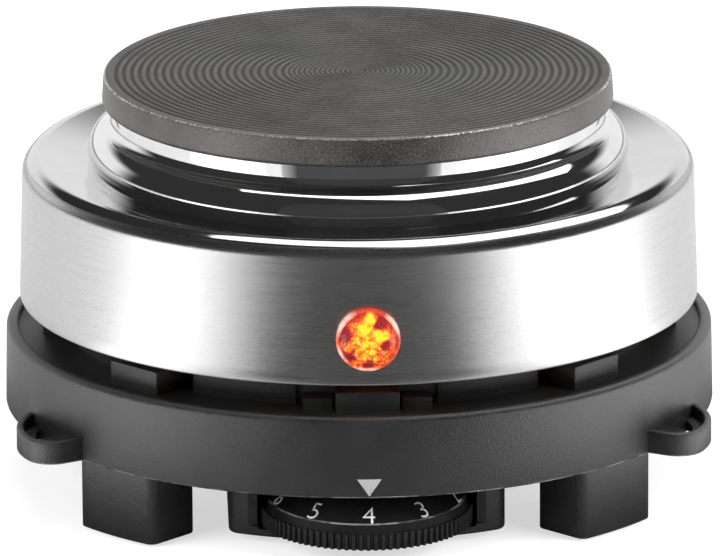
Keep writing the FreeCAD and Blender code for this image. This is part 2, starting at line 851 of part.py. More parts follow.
def thermostat_body():
    """Ceramic block with a recess for the bush, a way through for the spindle and the rivet's hole."""
    block = box(-thermo_half_width, thermo_half_width, thermo_front_y, thermo_rear_y, thermo_z0, thermo_z1)
    recess_radius = bush_flange_radius + bush_recess_clearance
    recess_z1 = thermo_z0 + bush_flange_height + bush_recess_clearance
    recess = disc(recess_radius, thermo_z0, recess_z1, 0, dial_y)
    passage = disc(spindle_passage, thermo_z0, thermo_z1, 0, dial_y)
    rivet_hole = disc(rivet_radius, thermo_z1 - rivet_bite, thermo_z1, 0, stack_y)
    return block.cut(Part.makeCompound([recess.fuse(passage), rivet_hole]))


def contact_strip(width, front_y, side, z0, z1):
    """Spring strip from the rivet towards the spindle, with a terminal tab at one side."""
    blade = box(-width / 2, width / 2, front_y, stack_y + width / 2 + strip_rear_margin, z0, z1)
    tab_half = width / 2
    reach = sorted((0, side * terminal_reach))
    tab = box(reach[0], reach[1], stack_y - tab_half, stack_y + tab_half, z0, z1)
    return blade.fuse(tab).removeSplitter().cut(disc(rivet_radius + rivet_clearance, z0, z1, 0, stack_y))


def stack_rivet():
    shank = disc(rivet_radius, thermo_z1 - rivet_bite, rivet_z0, 0, stack_y)
    return shank.fuse(disc(rivet_head_radius, rivet_z0, rivet_z0 + rivet_head_height, 0, stack_y))


def lamp_turned(start, *steps):
    """Solid of revolution about the lamp's axis: a step's height runs outwards from the centre line."""
    solid = turned(start, *steps)
    solid.rotate(V(0, 0, 0), V(1, 0, 0), 90)
    return moved(solid, z=lamp_z)


def lens_bore_end():
    """Where the bore of the lens's barrel ends, along Y."""
    return lens_front_wall - skirt_radius_at(lamp_z)


def indicator_lens():
    """Lens with a crowned head that seats on the skirt, and a hollow barrel behind it."""
    face = skirt_radius_at(lamp_z)
    head = lamp_turned(
        (0, face - lens_front_wall),
        (lens_radius, face - lens_front_wall),
        (lens_radius, face + lens_edge),
        (lens_crown_radius, face + lens_crown_rise),
        (0, face + lens_tip_rise),
    ).cut(housing_envelope())
    barrel = bar(barrel_radius, V(0, barrel_length - face, lamp_z), V(0, -face, lamp_z))
    bore_radius = barrel_radius - barrel_wall
    bore = bar(bore_radius, V(0, barrel_length - face, lamp_z), V(0, lens_bore_end(), lamp_z))
    return head.fuse(barrel).cut(bore)


def neon_lamp():
    """Glass bulb in the lens's barrel, round at its nose."""
    nose = -lens_bore_end() - barrel_clearance
    rear = nose - neon_length
    shoulder = neon_radius - neon_nose
    return lamp_turned(
        (0, rear),
        (neon_radius, rear),
        (neon_radius, nose - neon_nose),
        arc((shoulder, nose - neon_nose), neon_nose, 0, 90),
        (0, nose),
    )


def lamp_clip():
    """Push-on ring that holds the lens from inside the skirt."""
    narrowest = min(skirt_radius_at(lamp_z + side * clip_radius) for side in (-1, 1))
    front = math.sqrt((narrowest - housing_wall) ** 2 - clip_radius ** 2) - barrel_clearance
    rear = front - clip_sheet
    hole = barrel_radius + clip_clearance
    return lamp_turned((hole, rear), (clip_radius, rear), (clip_radius, front), (hole, front))


def pole_places():
    """Neutral, earth and line, from -X to +X."""
    return [-pole_pitch, 0.0, pole_pitch]


def terminal_block():
    """Three-pole block on the deck, notched between its poles."""
    middle_y = (block_front_y + block_rear_y) / 2
    top = deck_z1 + block_height
    block = box(-block_half_width, block_half_width, block_front_y, block_rear_y, deck_z1, top)
    cuts = [disc(pole_screw_radius + pole_screw_clearance, top - pole_screw_depth, top, x, middle_y)
            for x in pole_places()]
    for x in (-pole_pitch / 2, pole_pitch / 2):
        half = block_notch / 2
        cuts.append(box(x - half, x + half, block_front_y, block_rear_y, top - block_notch, top))
    return block.cut(Part.makeCompound(cuts))


def terminal_screws():
    middle_y = (block_front_y + block_rear_y) / 2
    top = deck_z1 + block_height
    screws = [disc(pole_screw_radius, top - pole_screw_depth, top, x, middle_y) for x in pole_places()]
    return Part.makeCompound(screws)


def fuse_axis_z():
    return shield_z0 - fuse_seat_gap - fuse_radius


def thermal_fuse():
    """Sealed fuse along Y under the shield, with a lead at each end."""
    z = fuse_axis_z()
    half = fuse_length / 2
    body = bar(fuse_radius, V(fuse_x, -half, z), V(fuse_x, half, z))
    end = half + fuse_lead_length
    return body.fuse(bar(fuse_lead_radius, V(fuse_x, -end, z), V(fuse_x, end, z)))


def fuse_clip():
    """Saddle that holds the fuse up against the shield."""
    z = fuse_axis_z()
    inner = fuse_radius + fuse_seat_gap
    outer = inner + fuse_clip_wall
    half = fuse_clip_width / 2
    band = bar(outer, V(fuse_x, -half, z), V(fuse_x, half, z))
    sides = box(fuse_x - outer, fuse_x + outer, -half, half, z, shield_z0)
    foot_reach = outer + fuse_clip_foot
    feet = box(fuse_x - foot_reach, fuse_x + foot_reach, -half, half, shield_z0 - fuse_clip_wall, shield_z0)
    under = box(fuse_x - outer, fuse_x + outer, -half, half, z - outer, z)
    saddle = band.common(under).multiFuse([sides, feet])
    way = bar(inner, V(fuse_x, -half, z), V(fuse_x, half, z))
    slot = box(fuse_x - inner, fuse_x + inner, -half, half, z, shield_z0)
    return saddle.cut(way.fuse(slot)).removeSplitter()


def earth_screw():
    """Screw through the bridge's end that takes the earth wire."""
    head_z1 = bridge_end_z1 - bridge_sheet
    head = disc(earth_head_radius, head_z1 - earth_head_height, head_z1, earth_x)
    return head.fuse(disc(earth_screw_radius, head_z1, bridge_end_z1, earth_x))


def wires():
    """Internal wires, each square out of one terminal's face and square into the next."""
    neutral_pin, line_pin = [polar(element_ring_radius, azimuth, pin_z0) for azimuth in pin_azimuths]
    low = deck_z1 + pole_low
    high = deck_z1 + pole_high
    fuse_end = fuse_length / 2 + fuse_lead_length
    fuse_front = V(fuse_x, -fuse_end, fuse_axis_z())
    fuse_rear = V(fuse_x, fuse_end, fuse_axis_z())
    arm_end = V(terminal_reach, stack_y, thermo_z1 + arm_sheet / 2)
    bimetal_end = V(-terminal_reach, stack_y, bimetal_z0 + bimetal_sheet / 2)
    earth_head = V(earth_x, 0, bridge_end_z1 - bridge_sheet - earth_head_height)
    neutral_pole, earth_pole, line_pole = [V(x, block_front_y, low) for x in pole_places()]
    neon_y = lens_bore_end() + barrel_clearance + neon_length
    down = UP * -lead_out
    to_front = V(0, -lead_out, 0)
    to_rear = V(0, lead_out, 0)
    right = V(lead_out, 0, 0)
    switched_via = V(switched_via_x, switched_via_y, switched_via_z)
    routes = {
        "wire_neutral": [neutral_pin, neutral_pin + down, neutral_pole + to_front, neutral_pole],
        "wire_line": [line_pole, line_pole + to_front, fuse_rear + to_rear, fuse_rear],
        "wire_fused": [fuse_front, fuse_front + to_front, arm_end + right, arm_end],
        "wire_switched": [bimetal_end, bimetal_end - right, switched_via, line_pin + down, line_pin],
        "wire_earth": [earth_pole, earth_pole + to_front, earth_head + down, earth_head],
    }
    shapes = {name: wire_tube(name, points, mains_wire) for name, points in routes.items()}
    leads = []
    for side in (-1, 1):
        neon_end = V(side * lamp_lead_spread, neon_y, lamp_z)
        via = V(side * lamp_via_x, lamp_via_y, lamp_via_z)
        pole = V(side * lamp_pole_offset, block_front_y, high)
        points = [neon_end, neon_end + to_rear, via, pole + to_front, pole]
        leads.append(wire_tube("wire_lamp", points, lamp_wire))
    shapes["wire_lamp"] = Part.makeCompound(leads)
    return shapes


def cord_gland():
    """Rubber bush for the mains cord: two flanges and a neck that fills the slot in the wall."""
    outer_y1 = ring_radius - gland_sink
    outer_y0 = outer_y1 - gland_flange_sheet
    inner_y1 = ring_inner - gland_wall - gland_clearance
    inner_y0 = inner_y1 - gland_flange_sheet
    foot = cover_z1 + gland_clearance
    bush = stadium(gland_flange, ring_z0 + gland_clearance, outer_y0, outer_y1).multiFuse([
        stadium(gland_neck, foot, inner_y0, outer_y1),
        stadium(gland_flange, foot, inner_y0, inner_y1),
    ])
    return bush.cut(bar(gland_bore, V(0, inner_y0, gland_z), V(0, outer_y1, gland_z))).removeSplitter()


def main():
    os.makedirs("parts", exist_ok=True)
    screw, insulator, tab_nut = housing_fixing()
    bore_z1 = boss_z0 + stud_bore_depth
    rivet_hole = rivet_radius + rivet_clearance
    pieces = {
        "hot_plate": hot_plate(),
        "heating_element": heating_element(),
        "element_cover": element_cover(),
        "spill_ring": spill_ring(),
        "housing_shell": housing_shell(),
        "mounting_bridge": mounting_bridge(),
        "heat_shield": heat_shield(),
        "centre_stud": disc(stud_radius, nut_z0 - stud_tail, bore_z1),
        "stud_washer": washer(washer_radius, stud_hole, washer_z0, shield_z0),
        "stud_nut": hex_nut(nut_flats, stud_radius, nut_z0, washer_z0),
        "base_tray": base_tray(),
        "bottom_cover": bottom_cover(),
        "foot_pads": four(foot_pad()),
        "housing_screws": four(screw),
        "insulating_washers": four(insulator),
        "tab_nuts": four(tab_nut),
        "cover_screws": small_screws(cover_screw_places(), cover_z0),
        "shroud_screws": small_screws(shroud_screw_places(), shroud_z0 + shroud_counterbore),
        "dial_shroud": dial_shroud(),
        "dial_wheel": dial_wheel(),
        "dial_spindle": dial_spindle(),
        "thermostat_plate": thermostat_plate(),
        "thermostat_bush": thermostat_bush(),
        "thermostat_nut": thermostat_nut(),
        "thermostat_body": thermostat_body(),
        "contact_arm": contact_strip(arm_width, arm_front_y, 1, thermo_z1, spacer_z0),
        "stack_spacer": washer(stack_spacer_radius, rivet_hole, spacer_z0, bimetal_z0, 0, stack_y),
        "bimetal_strip": contact_strip(bimetal_width, bimetal_front_y, -1, bimetal_z0, rivet_z0),
        "stack_rivet": stack_rivet(),
        "indicator_lens": indicator_lens(),
        "neon_lamp": neon_lamp(),
        "lamp_clip": lamp_clip(),
        "terminal_block": terminal_block(),
        "terminal_screws": terminal_screws(),
        "thermal_fuse": thermal_fuse(),
        "fuse_clip": fuse_clip(),
        "earth_screw": earth_screw(),
        "cord_gland": cord_gland(),
    }
    pieces.update(wires())
    for name, shape in pieces.items():
        assert shape.isValid(), name
        shape.exportStep(os.path.join("parts", name + ".step"))
        print(name, len(shape.Solids), "solids", round(shape.Volume, 1), "mm3")


main()
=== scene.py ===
# %% [markdown]
# A small electric hot plate: a ribbed iron plate on a chromed ring, a steel housing with a lamp, and a
# dark plastic base with a thumbwheel. The CAD model gives every place and every moving body, so the first
# step loads it as a fixed frame. The pieces that show are then modelled again with finer edges, and the
# rest keep their CAD meshes and get a better finish.

# %% Load the frame
import cmath
import json
import math
import bpy
from mathutils import Matrix, Vector


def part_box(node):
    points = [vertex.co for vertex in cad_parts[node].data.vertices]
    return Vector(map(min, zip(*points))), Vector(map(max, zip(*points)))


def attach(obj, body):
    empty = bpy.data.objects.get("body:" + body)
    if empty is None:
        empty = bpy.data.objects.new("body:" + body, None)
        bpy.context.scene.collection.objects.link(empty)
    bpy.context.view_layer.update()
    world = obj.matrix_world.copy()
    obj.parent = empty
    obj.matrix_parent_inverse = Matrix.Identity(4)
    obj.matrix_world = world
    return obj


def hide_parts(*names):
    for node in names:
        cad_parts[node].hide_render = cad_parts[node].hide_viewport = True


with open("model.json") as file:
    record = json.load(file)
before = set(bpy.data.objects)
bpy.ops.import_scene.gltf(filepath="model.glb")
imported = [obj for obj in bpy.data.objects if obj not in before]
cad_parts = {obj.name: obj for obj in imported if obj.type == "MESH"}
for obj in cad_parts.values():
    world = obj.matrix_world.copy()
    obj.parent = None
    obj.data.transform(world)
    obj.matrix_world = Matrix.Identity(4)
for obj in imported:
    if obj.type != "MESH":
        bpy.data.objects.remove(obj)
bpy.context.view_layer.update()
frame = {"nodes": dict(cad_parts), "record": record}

nodes = frame["nodes"]

# %% [markdown]
# All modelling is done with the operators that a person would use by hand. Sizes are in millimetres, as such
# a product is drawn, and are turned into Blender's metres in one place. A round piece starts as a point that
# is extruded along its section and spun about an axis. A moulded block starts as an outline that is filled
# and pulled up.

# %% Modelling helpers
mm = 0.001
merge_distance = 0.0005 * mm
corner_azimuths = (45, 135, 225, 315)
side_azimuths = (0, 90, 180, 270)
front_azimuth = 270


def point(x, y, z):
    """Place in millimetres as a vector in metres."""
    return Vector((x, y, z)) * mm


def on_arc(centre, radius, start, end, steps):
    """Points on an arc in a plane, by its angles in degrees."""
    angles = [math.radians(start + (end - start) * i / steps) for i in range(steps + 1)]
    return [(centre[0] + radius * math.cos(a), centre[1] + radius * math.sin(a)) for a in angles]


def through(a, b, c, steps):
    """Points on the arc that runs from a through b to c."""
    a, b, c = complex(*a), complex(*b), complex(*c)
    ratio = (c - a) / (b - a)
    centre = a + (b - a) * (ratio - abs(ratio) ** 2) / (2j * ratio.imag)
    radius, start = cmath.polar(a - centre)
    end = start + cmath.phase((c - centre) / (a - centre))
    return on_arc((centre.real, centre.imag), radius, math.degrees(start), math.degrees(end), steps)


def plan_arc(radius, start, end, steps):
    """Points on an arc about the centre line, seen from above."""
    return on_arc((0.0, 0.0), radius, start, end, steps)


def both_sides(half):
    """Outline whose second half mirrors the first in X."""
    return half + [(-x, y) for x, y in half[::-1]]


def plan_box(x0, x1, half):
    """Corners of a box that lies along +X, seen from above."""
    return [(x0, -half), (x1, -half), (x1, half), (x0, half)]


def only(piece):
    """Makes a piece the only selected and active object."""
    bpy.ops.object.select_all(action="DESELECT")
    piece.select_set(True)
    bpy.context.view_layer.objects.active = piece


def mode(name):
    bpy.ops.object.mode_set(mode=name)


def extrude(by):
    """Extrudes what is selected by a vector."""
    bpy.ops.mesh.extrude_region_move(TRANSFORM_OT_translate={"value": by})


def draw_line(name, points):
    """Line through the points: a plane merged to one point, then extruded from place to place."""
    bpy.ops.mesh.primitive_plane_add(size=mm)
    piece = bpy.context.object
    piece.name = name
    mode("EDIT")
    bpy.ops.mesh.merge(type="CENTER")
    bpy.ops.transform.translate(value=points[0])
    for here, there in zip(points, points[1:]):
        extrude(there - here)
    bpy.ops.mesh.select_all(action="SELECT")
    return piece


def close_mesh():
    """Merges doubles, turns the faces outwards and leaves edit mode."""
    bpy.ops.mesh.select_all(action="SELECT")
    bpy.ops.mesh.remove_doubles(threshold=merge_distance)
    bpy.ops.mesh.normals_make_consistent(inside=False)
    mode("OBJECT")


def fill_and_pull(by, merge=merge_distance):
    """Merges the ends of a drawn outline, fills it and pulls it out to a solid."""
    bpy.ops.mesh.remove_doubles(threshold=merge)
    bpy.ops.mesh.edge_face_add()
    extrude(by)
    close_mesh()


def pull_outline(name, corners, by):
    """Solid between an outline and the same outline moved by a vector."""
    piece = draw_line(name, corners + corners[:1])
    fill_and_pull(by)
    return piece


def spin_section(name, section, steps, y=0.0):
    """Turned piece: its section, as radius and height, spun about an upright axis."""
    piece = draw_line(name, [point(r, y, z) for r, z in section])
    bpy.ops.mesh.spin(steps=steps, angle=2 * math.pi, center=point(0, y, 0), axis=(0, 0, 1))
    close_mesh()
    return piece


def mould_block(name, outline, z0, z1, round_over=0.0, segments=2):
    """Moulded block: an outline seen from above, pulled up and rounded over at its edges."""
    piece = pull_outline(name, [point(x, y, z0) for x, y in outline], point(0, 0, z1 - z0))
    if round_over:
        round_edges(piece, round_over, segments)
    return piece


def facing_block(name, outline, y0, y1):
    """Block from an outline seen from the front, pulled along Y."""
    return pull_outline(name, [point(x, y0, z) for x, z in outline], point(0, y1 - y0, 0))


def upright_bar(radius, z0, z1, x, y, sides=64):
    """Round cutter."""
    bpy.ops.mesh.primitive_cylinder_add(vertices=sides, radius=radius * mm, depth=(z1 - z0) * mm,
                                        location=point(x, y, (z0 + z1) / 2))
    return bpy.context.object


def apply_modifier(piece, kind, **settings):
    """Adds a modifier with its settings and applies it."""
    only(piece)
    modifier = piece.modifiers.new(kind.lower(), kind)
    for key, value in settings.items():
        setattr(modifier, key, value)
    bpy.ops.object.modifier_apply(modifier=modifier.name)


def round_edges(piece, width, segments=2, angle=40.0):
    """Rounds the edges that are sharper than an angle."""
    apply_modifier(piece, "BEVEL", width=width * mm, segments=segments, limit_method="ANGLE",
                   angle_limit=math.radians(angle))


def merge_solids(piece, others, operation):
    """Joins other solids to a piece, or cuts them from it, and removes them."""
    for other in others:
        apply_modifier(piece, "BOOLEAN", operation=operation, solver="EXACT", object=other)
        bpy.data.meshes.remove(other.data)


def turned_set(piece, azimuths):
    """Copies of a piece drawn along +X, turned about the centre line to each azimuth."""
    copies = []
    for azimuth in azimuths:
        only(piece)
        bpy.ops.object.duplicate()
        copies.append(bpy.context.object)
        copies[-1].rotation_euler.z = math.radians(azimuth)
        bpy.ops.object.transform_apply()
    bpy.data.meshes.remove(piece.data)
    return copies


def place_piece(piece, body, slot, finish, *replaced, smooth=35.0, flats=False):
    """Completes a piece: shading, finish, the body it rides on and the nodes it stands for. Its slot is not
    used.
    """
    only(piece)
    bpy.ops.object.shade_smooth_by_angle(angle=math.radians(smooth))
    if flats:  # keeps large faces flat up to their rounded edges
        apply_modifier(piece, "WEIGHTED_NORMAL", keep_sharp=True)
    piece.data.materials.clear()
    piece.data.materials.append(finish.material)
    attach(piece, body)
    if replaced:
        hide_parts(*replaced)
    print(piece.name, len(piece.data.polygons), "faces, rides on", body)


def second_finish(piece, finish, test):
    """Gives the faces that pass a test a finish of their own."""
    piece.data.materials.append(finish.material)
    for face in piece.data.polygons:
        if test(face):
            face.material_index = 1


# %% [markdown]
# A finish is a node material. On the real object no surface has one flat colour: iron is mottled, plastic
# has a fine moulded grain, and steel keeps the lines of its polishing. So each finish mixes two tones by a
# noise on object coordinates, and the same noise drives its roughness and its bump.

# %% Finish helpers
mean_radius = 60.0
broad_factor = 30


class Nodes:
    """A node tree and short ways to add nodes to it."""

    def __init__(self, tree):
        self.tree = tree

    def add(self, kind, inputs=None, **settings):
        """Shader node with each input set to a value or linked to another node."""
        node = self.tree.nodes.new("ShaderNode" + kind)
        for key, value in settings.items():
            setattr(node, key, value)
        for socket, value in (inputs or {}).items():
            if hasattr(value, "is_output"):
                self.tree.links.new(value, node.inputs[socket])
            else:
                node.inputs[socket].default_value = value
        return node

    def math(self, operation, a, b=0.0):
        return self.add("Math", {0: a, 1: b}, operation=operation).outputs[0]

    def product(self, first, *others):
        """Product of masks and numbers."""
        for other in others:
            first = self.math("MULTIPLY", first, other)
        return first

    def highest(self, first, *others):
        """Highest of several masks."""
        for other in others:
            first = self.math("MAXIMUM", first, other)
        return first

    def span(self, factor, low, high, from_low=0.0, from_high=1.0, **settings):
        """Number between low and high as the factor goes over its span."""
        inputs = {"Value": factor, "From Min": from_low, "From Max": from_high, "To Min": low, "To Max": high}
        return self.add("MapRange", inputs, **settings).outputs["Result"]


class Finish(Nodes):
    """A material whose nodes work on object coordinates."""

    def __init__(self, name, **fixed):
        self.material = bpy.data.materials.new(name)
        self.material.use_nodes = True
        super().__init__(self.material.node_tree)
        self.shader = self.tree.nodes["Principled BSDF"]
        for socket, value in fixed.items():
            self.shader.inputs[socket.replace("_", " ")].default_value = value
        self.place = self.add("TexCoord").outputs["Object"]

    def wire(self, source, socket):
        self.tree.links.new(source, self.shader.inputs[socket])

    def between(self, value, low, high):
        """1 between two limits in millimetres and 0 outside them."""
        above = self.math("GREATER_THAN", value, low * mm)
        return self.product(above, self.math("LESS_THAN", value, high * mm))

    def vector(self, operation, a, b=(0, 0, 0)):
        return self.add("VectorMath", {0: a, 1: b}, operation=operation).outputs

    def noise(self, size, detail=4.0, rough=0.55, vector=None):
        """Noise whose patches are about this many millimetres wide."""
        inputs = {"Vector": vector or self.place, "Scale": 1 / (size * mm)}
        return self.add("TexNoise", {**inputs, "Detail": detail, "Roughness": rough}).outputs["Fac"]

    def ramp(self, factor, *stops):
        """Colour ramp through (place, colour) stops."""
        node = self.add("ValToRGB", {"Fac": factor})
        elements = node.color_ramp.elements
        while len(elements) < len(stops):
            elements.new(0.5)
        for element, (place, colour) in zip(elements, stops):
            element.position = place
            element.color = (*colour, 1.0)
        return node.outputs["Color"]

    def cover(self, mask, colour):
        """Lays a colour over the base colour where the mask is 1."""
        below = self.shader.inputs["Base Color"].links[0].from_socket
        node = self.add("Mix", {0: mask, 6: below, 7: (*colour, 1.0)}, data_type="RGBA")
        self.wire(node.outputs[2], "Base Color")

    def bump(self, height, depth):
        """Bump of a depth in millimetres."""
        node = self.add("Bump", {"Height": height, "Distance": depth * mm, "Strength": 1.0})
        self.wire(node.outputs["Normal"], "Normal")

    def axes(self):
        return self.add("SeparateXYZ", {0: self.place}).outputs

    def radius(self, y=0.0):
        """Distance from an upright line at this y in millimetres, or from the centre line."""
        from_line = self.vector("SUBTRACT", self.place, point(0, y, 0))[0]
        return self.vector("LENGTH", self.vector("MULTIPLY", from_line, (1, 1, 0))[0])["Value"]

    def round_lines(self, length, width):
        """Coordinates on which a noise of size 1 makes lines round the centre line, in millimetres."""
        x, y, z = self.axes()
        along = self.product(self.math("ARCTAN2", y, x), mean_radius / length * mm)
        across = self.math("DIVIDE", self.math("ADD", z, self.radius()), width)
        return self.add("CombineXYZ", {"X": along, "Y": across}).outputs[0]


def grey(value, warm=0.0):
    """Grey of a linear brightness, a little warmer or cooler."""
    return (value * (1 + warm), value, value * (1 - warm))


def grained(name, dark, light, size, rough, depth, grain=0.5, spread=0.18, **fixed):
    """Finish with two tones, a roughness span and a bump, all from one noise."""
    finish = Finish(name, **fixed)
    fine = finish.noise(size)
    broad = finish.noise(size * broad_factor, detail=2.0)
    both = finish.math("ADD", finish.product(fine, grain), finish.product(broad, 1 - grain))
    finish.wire(finish.ramp(both, (0.5 - spread, dark), (0.5 + spread, light)), "Base Color")
    finish.wire(finish.span(both, *rough, 0.5 - spread, 0.5 + spread), "Roughness")
    finish.bump(fine, depth)
    return finish


def mirror_metal(name, size, tones, rough):
    """Polished metal whose tone and roughness change a little in broad smears."""
    finish = Finish(name, Metallic=1.0)
    smear = finish.noise(size, detail=3.0)
    finish.wire(finish.ramp(smear, (0.3, grey(tones[0])), (0.7, grey(tones[1]))), "Base Color")
    finish.wire(finish.span(smear, *rough, from_low=0.35, from_high=0.7), "Roughness")
    return finish


# %% [markdown]
# The plate is cast iron. Its side keeps the dull skin of the casting, and its top is turned, with the valleys
# of its rings painted darker as shade between the brighter crests. Pans rub the outer edge bright in broken
# stretches. So there are two finishes, and masks made from the distance to the centre line find the rings and
# that edge.

# %% Iron finishes
plate_low, plate_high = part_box("hot_plate")
plate_top = plate_high.z / mm
plate_radius, rim_round, rim_flat = 50.0, 0.6, 1.6
fine_start, fine_count, fine_pitch, fine_depth = 1.0, 13, 1.0, 0.16
coarse_start, coarse_count, coarse_pitch, coarse_depth = 14.0, 22, 1.56, 0.24
crest_edge, valley_shade_share = 0.40, 0.9
worn_in, worn_down, worn_fade = 0.40, 0.36, 0.10
rub_size, stretch_size = 0.5, 30.0

turned = grained("turned_iron", grey(0.018, 0.03), grey(0.120, 0.05), size=0.38, rough=(0.44, 0.62),
                 depth=0.13, grain=0.65, spread=0.14, Metallic=0.2, Specular_IOR_Level=0.5)
turned_radius = turned.radius()


def crest_mask(start, pitch):
    """1 on the crest of each turned ring and 0 in the valley."""
    turns = turned.product(turned.math("SUBTRACT", turned_radius, start * mm), 2 * math.pi / (pitch * mm))
    return turned.span(turned.math("COSINE", turns), 0.0, 1.0, -crest_edge, crest_edge)


coarse = turned.math("GREATER_THAN", turned_radius, coarse_start * mm)
coarse_crests = turned.product(crest_mask(coarse_start, coarse_pitch), coarse)
fine_crests = turned.product(crest_mask(fine_start, fine_pitch), turned.math("SUBTRACT", 1.0, coarse))
shaded_valleys = turned.math("SUBTRACT", 1.0, turned.math("ADD", coarse_crests, fine_crests))
on_rings = turned.math("LESS_THAN", turned_radius, (plate_radius - rim_flat) * mm)
# Painted shade: the valleys between the ring crests are darkened in the colour.
turned.cover(turned.product(shaded_valleys, on_rings, valley_shade_share), grey(0.006))

iron = grained("cast_iron_skin", grey(0.024, 0.05), grey(0.110, 0.09), size=0.36, rough=(0.30, 0.48),
               depth=0.09, grain=0.65, spread=0.14, Metallic=0.25, Specular_IOR_Level=0.9, IOR=1.65)


def past(value, start):
    """Mask that rises to 1 just past a place in millimetres."""
    return iron.span(value, 0.0, 1.0, start * mm, (start + worn_fade) * mm)


rim = iron.product(past(iron.radius(), plate_radius - worn_in), past(iron.axes()[2], plate_top - worn_down))
rubbed = iron.span(iron.noise(rub_size, detail=5.0), 0.0, 1.0, from_low=0.44, from_high=0.58)
stretches = iron.span(iron.noise(stretch_size, detail=1.0), 0.15, 1.0, from_low=0.40, from_high=0.55)
worn = iron.product(rim, rubbed, stretches)
iron.cover(worn, grey(0.90, 0.02))
iron.wire(iron.span(worn, 0.25, 0.9), "Metallic")
print("two iron finishes for a plate with its top at", round(plate_top, 1), "mm")

# %% [markdown]
# The plate's top is turned: fine rings in the middle and coarser ones round them. Each ring is drawn in
# the section as a soft wave, a crest on each ring line and a valley between, and the whole section is then
# spun. Below, a boss carries the groove of the heating element. The faces of the top, found by their
# place, take the turned finish.

# %% Plate
ring_steps, edge_steps, plate_spin = 6, 5, 180
plate_edge, plate_draft, under_round, top_layer = 5.7, 0.3, 0.9, 0.5
plate_under = plate_top - plate_edge
boss_under = plate_low.z / mm
boss_radius = 44.0
element_circle, element_half, element_depth = 32.0, 3.5, 6.75
groove_in, groove_out = element_circle - element_half, element_circle + element_half
groove_top = boss_under + element_depth
stud_radius, stud_depth = 3.0, 7.0
stud_top = boss_under + stud_depth


def ring_wave(inner, count, pitch, depth):
    """Section through a row of turned rings, from the inside out."""
    radii = [inner + pitch * i / ring_steps for i in range(count * ring_steps)]
    return [(r, plate_top - depth * (0.5 - 0.5 * math.cos(2 * math.pi * (r - inner) / pitch))) for r in radii]


def on_top(face):
    middle = face.center / mm
    return middle.z > plate_top - top_layer and math.hypot(middle.x, middle.y) < plate_radius - rim_round


under_centre = (plate_radius + plate_draft - under_round, plate_under + under_round)
plate_section = [
    (0.0, plate_top),
    *ring_wave(fine_start, fine_count, fine_pitch, fine_depth),
    *ring_wave(coarse_start, coarse_count, coarse_pitch, coarse_depth),
    (coarse_start + coarse_count * coarse_pitch, plate_top),
    *on_arc((plate_radius - rim_round, plate_top - rim_round), rim_round, 90, 0, edge_steps),
    *on_arc(under_centre, under_round, 0, -90, edge_steps),
    (boss_radius, plate_under), (boss_radius, boss_under),
    (groove_out, boss_under), (groove_out, groove_top), (groove_in, groove_top), (groove_in, boss_under),
    (stud_radius, boss_under), (stud_radius, stud_top), (0.0, stud_top),
]
plate = spin_section("plate_casting", plate_section, plate_spin)
place_piece(plate, "body", "cast_iron", iron, "hot_plate", smooth=50.0)
second_finish(plate, turned, on_top)

# %% [markdown]
# The spill ring under the plate is pressed sheet with a mirror chrome. A mirror shows every flat facet, so
# this ring is spun in many steps. Only a faint haze in the roughness keeps the chrome from looking like glass.

# %% Chrome finish and spill ring
chrome = mirror_metal("mirror_chrome", size=9.0, tones=(0.74, 0.82), rough=(0.03, 0.09))
crest_rise = 1.2
housing_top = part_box("housing_shell")[1].z / mm - crest_rise
collar_outer, step_outer, bead_outer, foot_outer = 48.0, 50.3, 53.0, 52.7
spill_wall, spill_fillet, step_drop, bead_rise = 0.7, 2.3, 5.0, 3.7
fillet_steps, bow_steps, spill_spin = 10, 22, 240
step_height = plate_under - step_drop
bead_height = housing_top + bead_rise
fillet_centre = (step_outer, step_height + spill_fillet)
outer_bow = ((step_outer, step_height), (bead_outer, bead_height), (foot_outer, housing_top))
inner_bow = ((foot_outer - spill_wall, housing_top), (bead_outer - spill_wall, bead_height),
             (step_outer, step_height - spill_wall))
spill_section = [
    (collar_outer, plate_under),
    *on_arc(fillet_centre, spill_fillet, 180, 270, fillet_steps),
    *through(*outer_bow, bow_steps)[1:],
    *through(*inner_bow, bow_steps),
    *on_arc(fillet_centre, spill_fillet + spill_wall, 270, 180, fillet_steps)[1:],
    (collar_outer - spill_wall, plate_under), (collar_outer, plate_under),
]
spill = spin_section("spill_ring_pressing", spill_section, spill_spin)
place_piece(spill, "body", "chrome", chrome, "spill_ring")

# %% [markdown]
# The housing is one steel pressing with two finishes: its top and shoulder are polished like a mirror, and
# its skirt is brushed. Brushing leaves fine lines that run round the shell, so its noise is drawn in
# coordinates that follow the circle. Anisotropy then spreads reflections at right angles to the lines.

# %% Steel finishes
polished = mirror_metal("polished_steel", size=14.0, tones=(0.60, 0.68), rough=(0.05, 0.11))
brushed = Finish("brushed_steel", Metallic=1.0, Anisotropic=0.55)
line_length, line_width, line_depth, line_share = 20.0, 0.09, 0.004, 0.7
lines = brushed.noise(1.0, detail=3.0, rough=0.7, vector=brushed.round_lines(line_length, line_width))
cloud = brushed.noise(18.0, detail=2.0)
brushed.wire(brushed.ramp(lines, (0.25, grey(0.54)), (0.75, grey(0.68))), "Base Color")
streak = brushed.math("ADD", brushed.product(lines, line_share), brushed.product(cloud, 1 - line_share))
brushed.wire(brushed.span(streak, 0.20, 0.36, from_low=0.3, from_high=0.7), "Roughness")
brushed.wire(brushed.add("Tangent", direction_type="RADIAL", axis="Z").outputs[0], "Tangent")
brushed.bump(lines, line_depth)
print("two steel finishes, the lines of the brushed one", line_width, "mm wide")

# %% [markdown]
# The housing's section is drawn with a round shoulder and a small rolled edge at the foot of the skirt.
# The lamp's hole is cut through the skirt, and four tabs for the screws are joined to its foot. The
# faces of the skirt, found by their slope, then take the brushed finish.

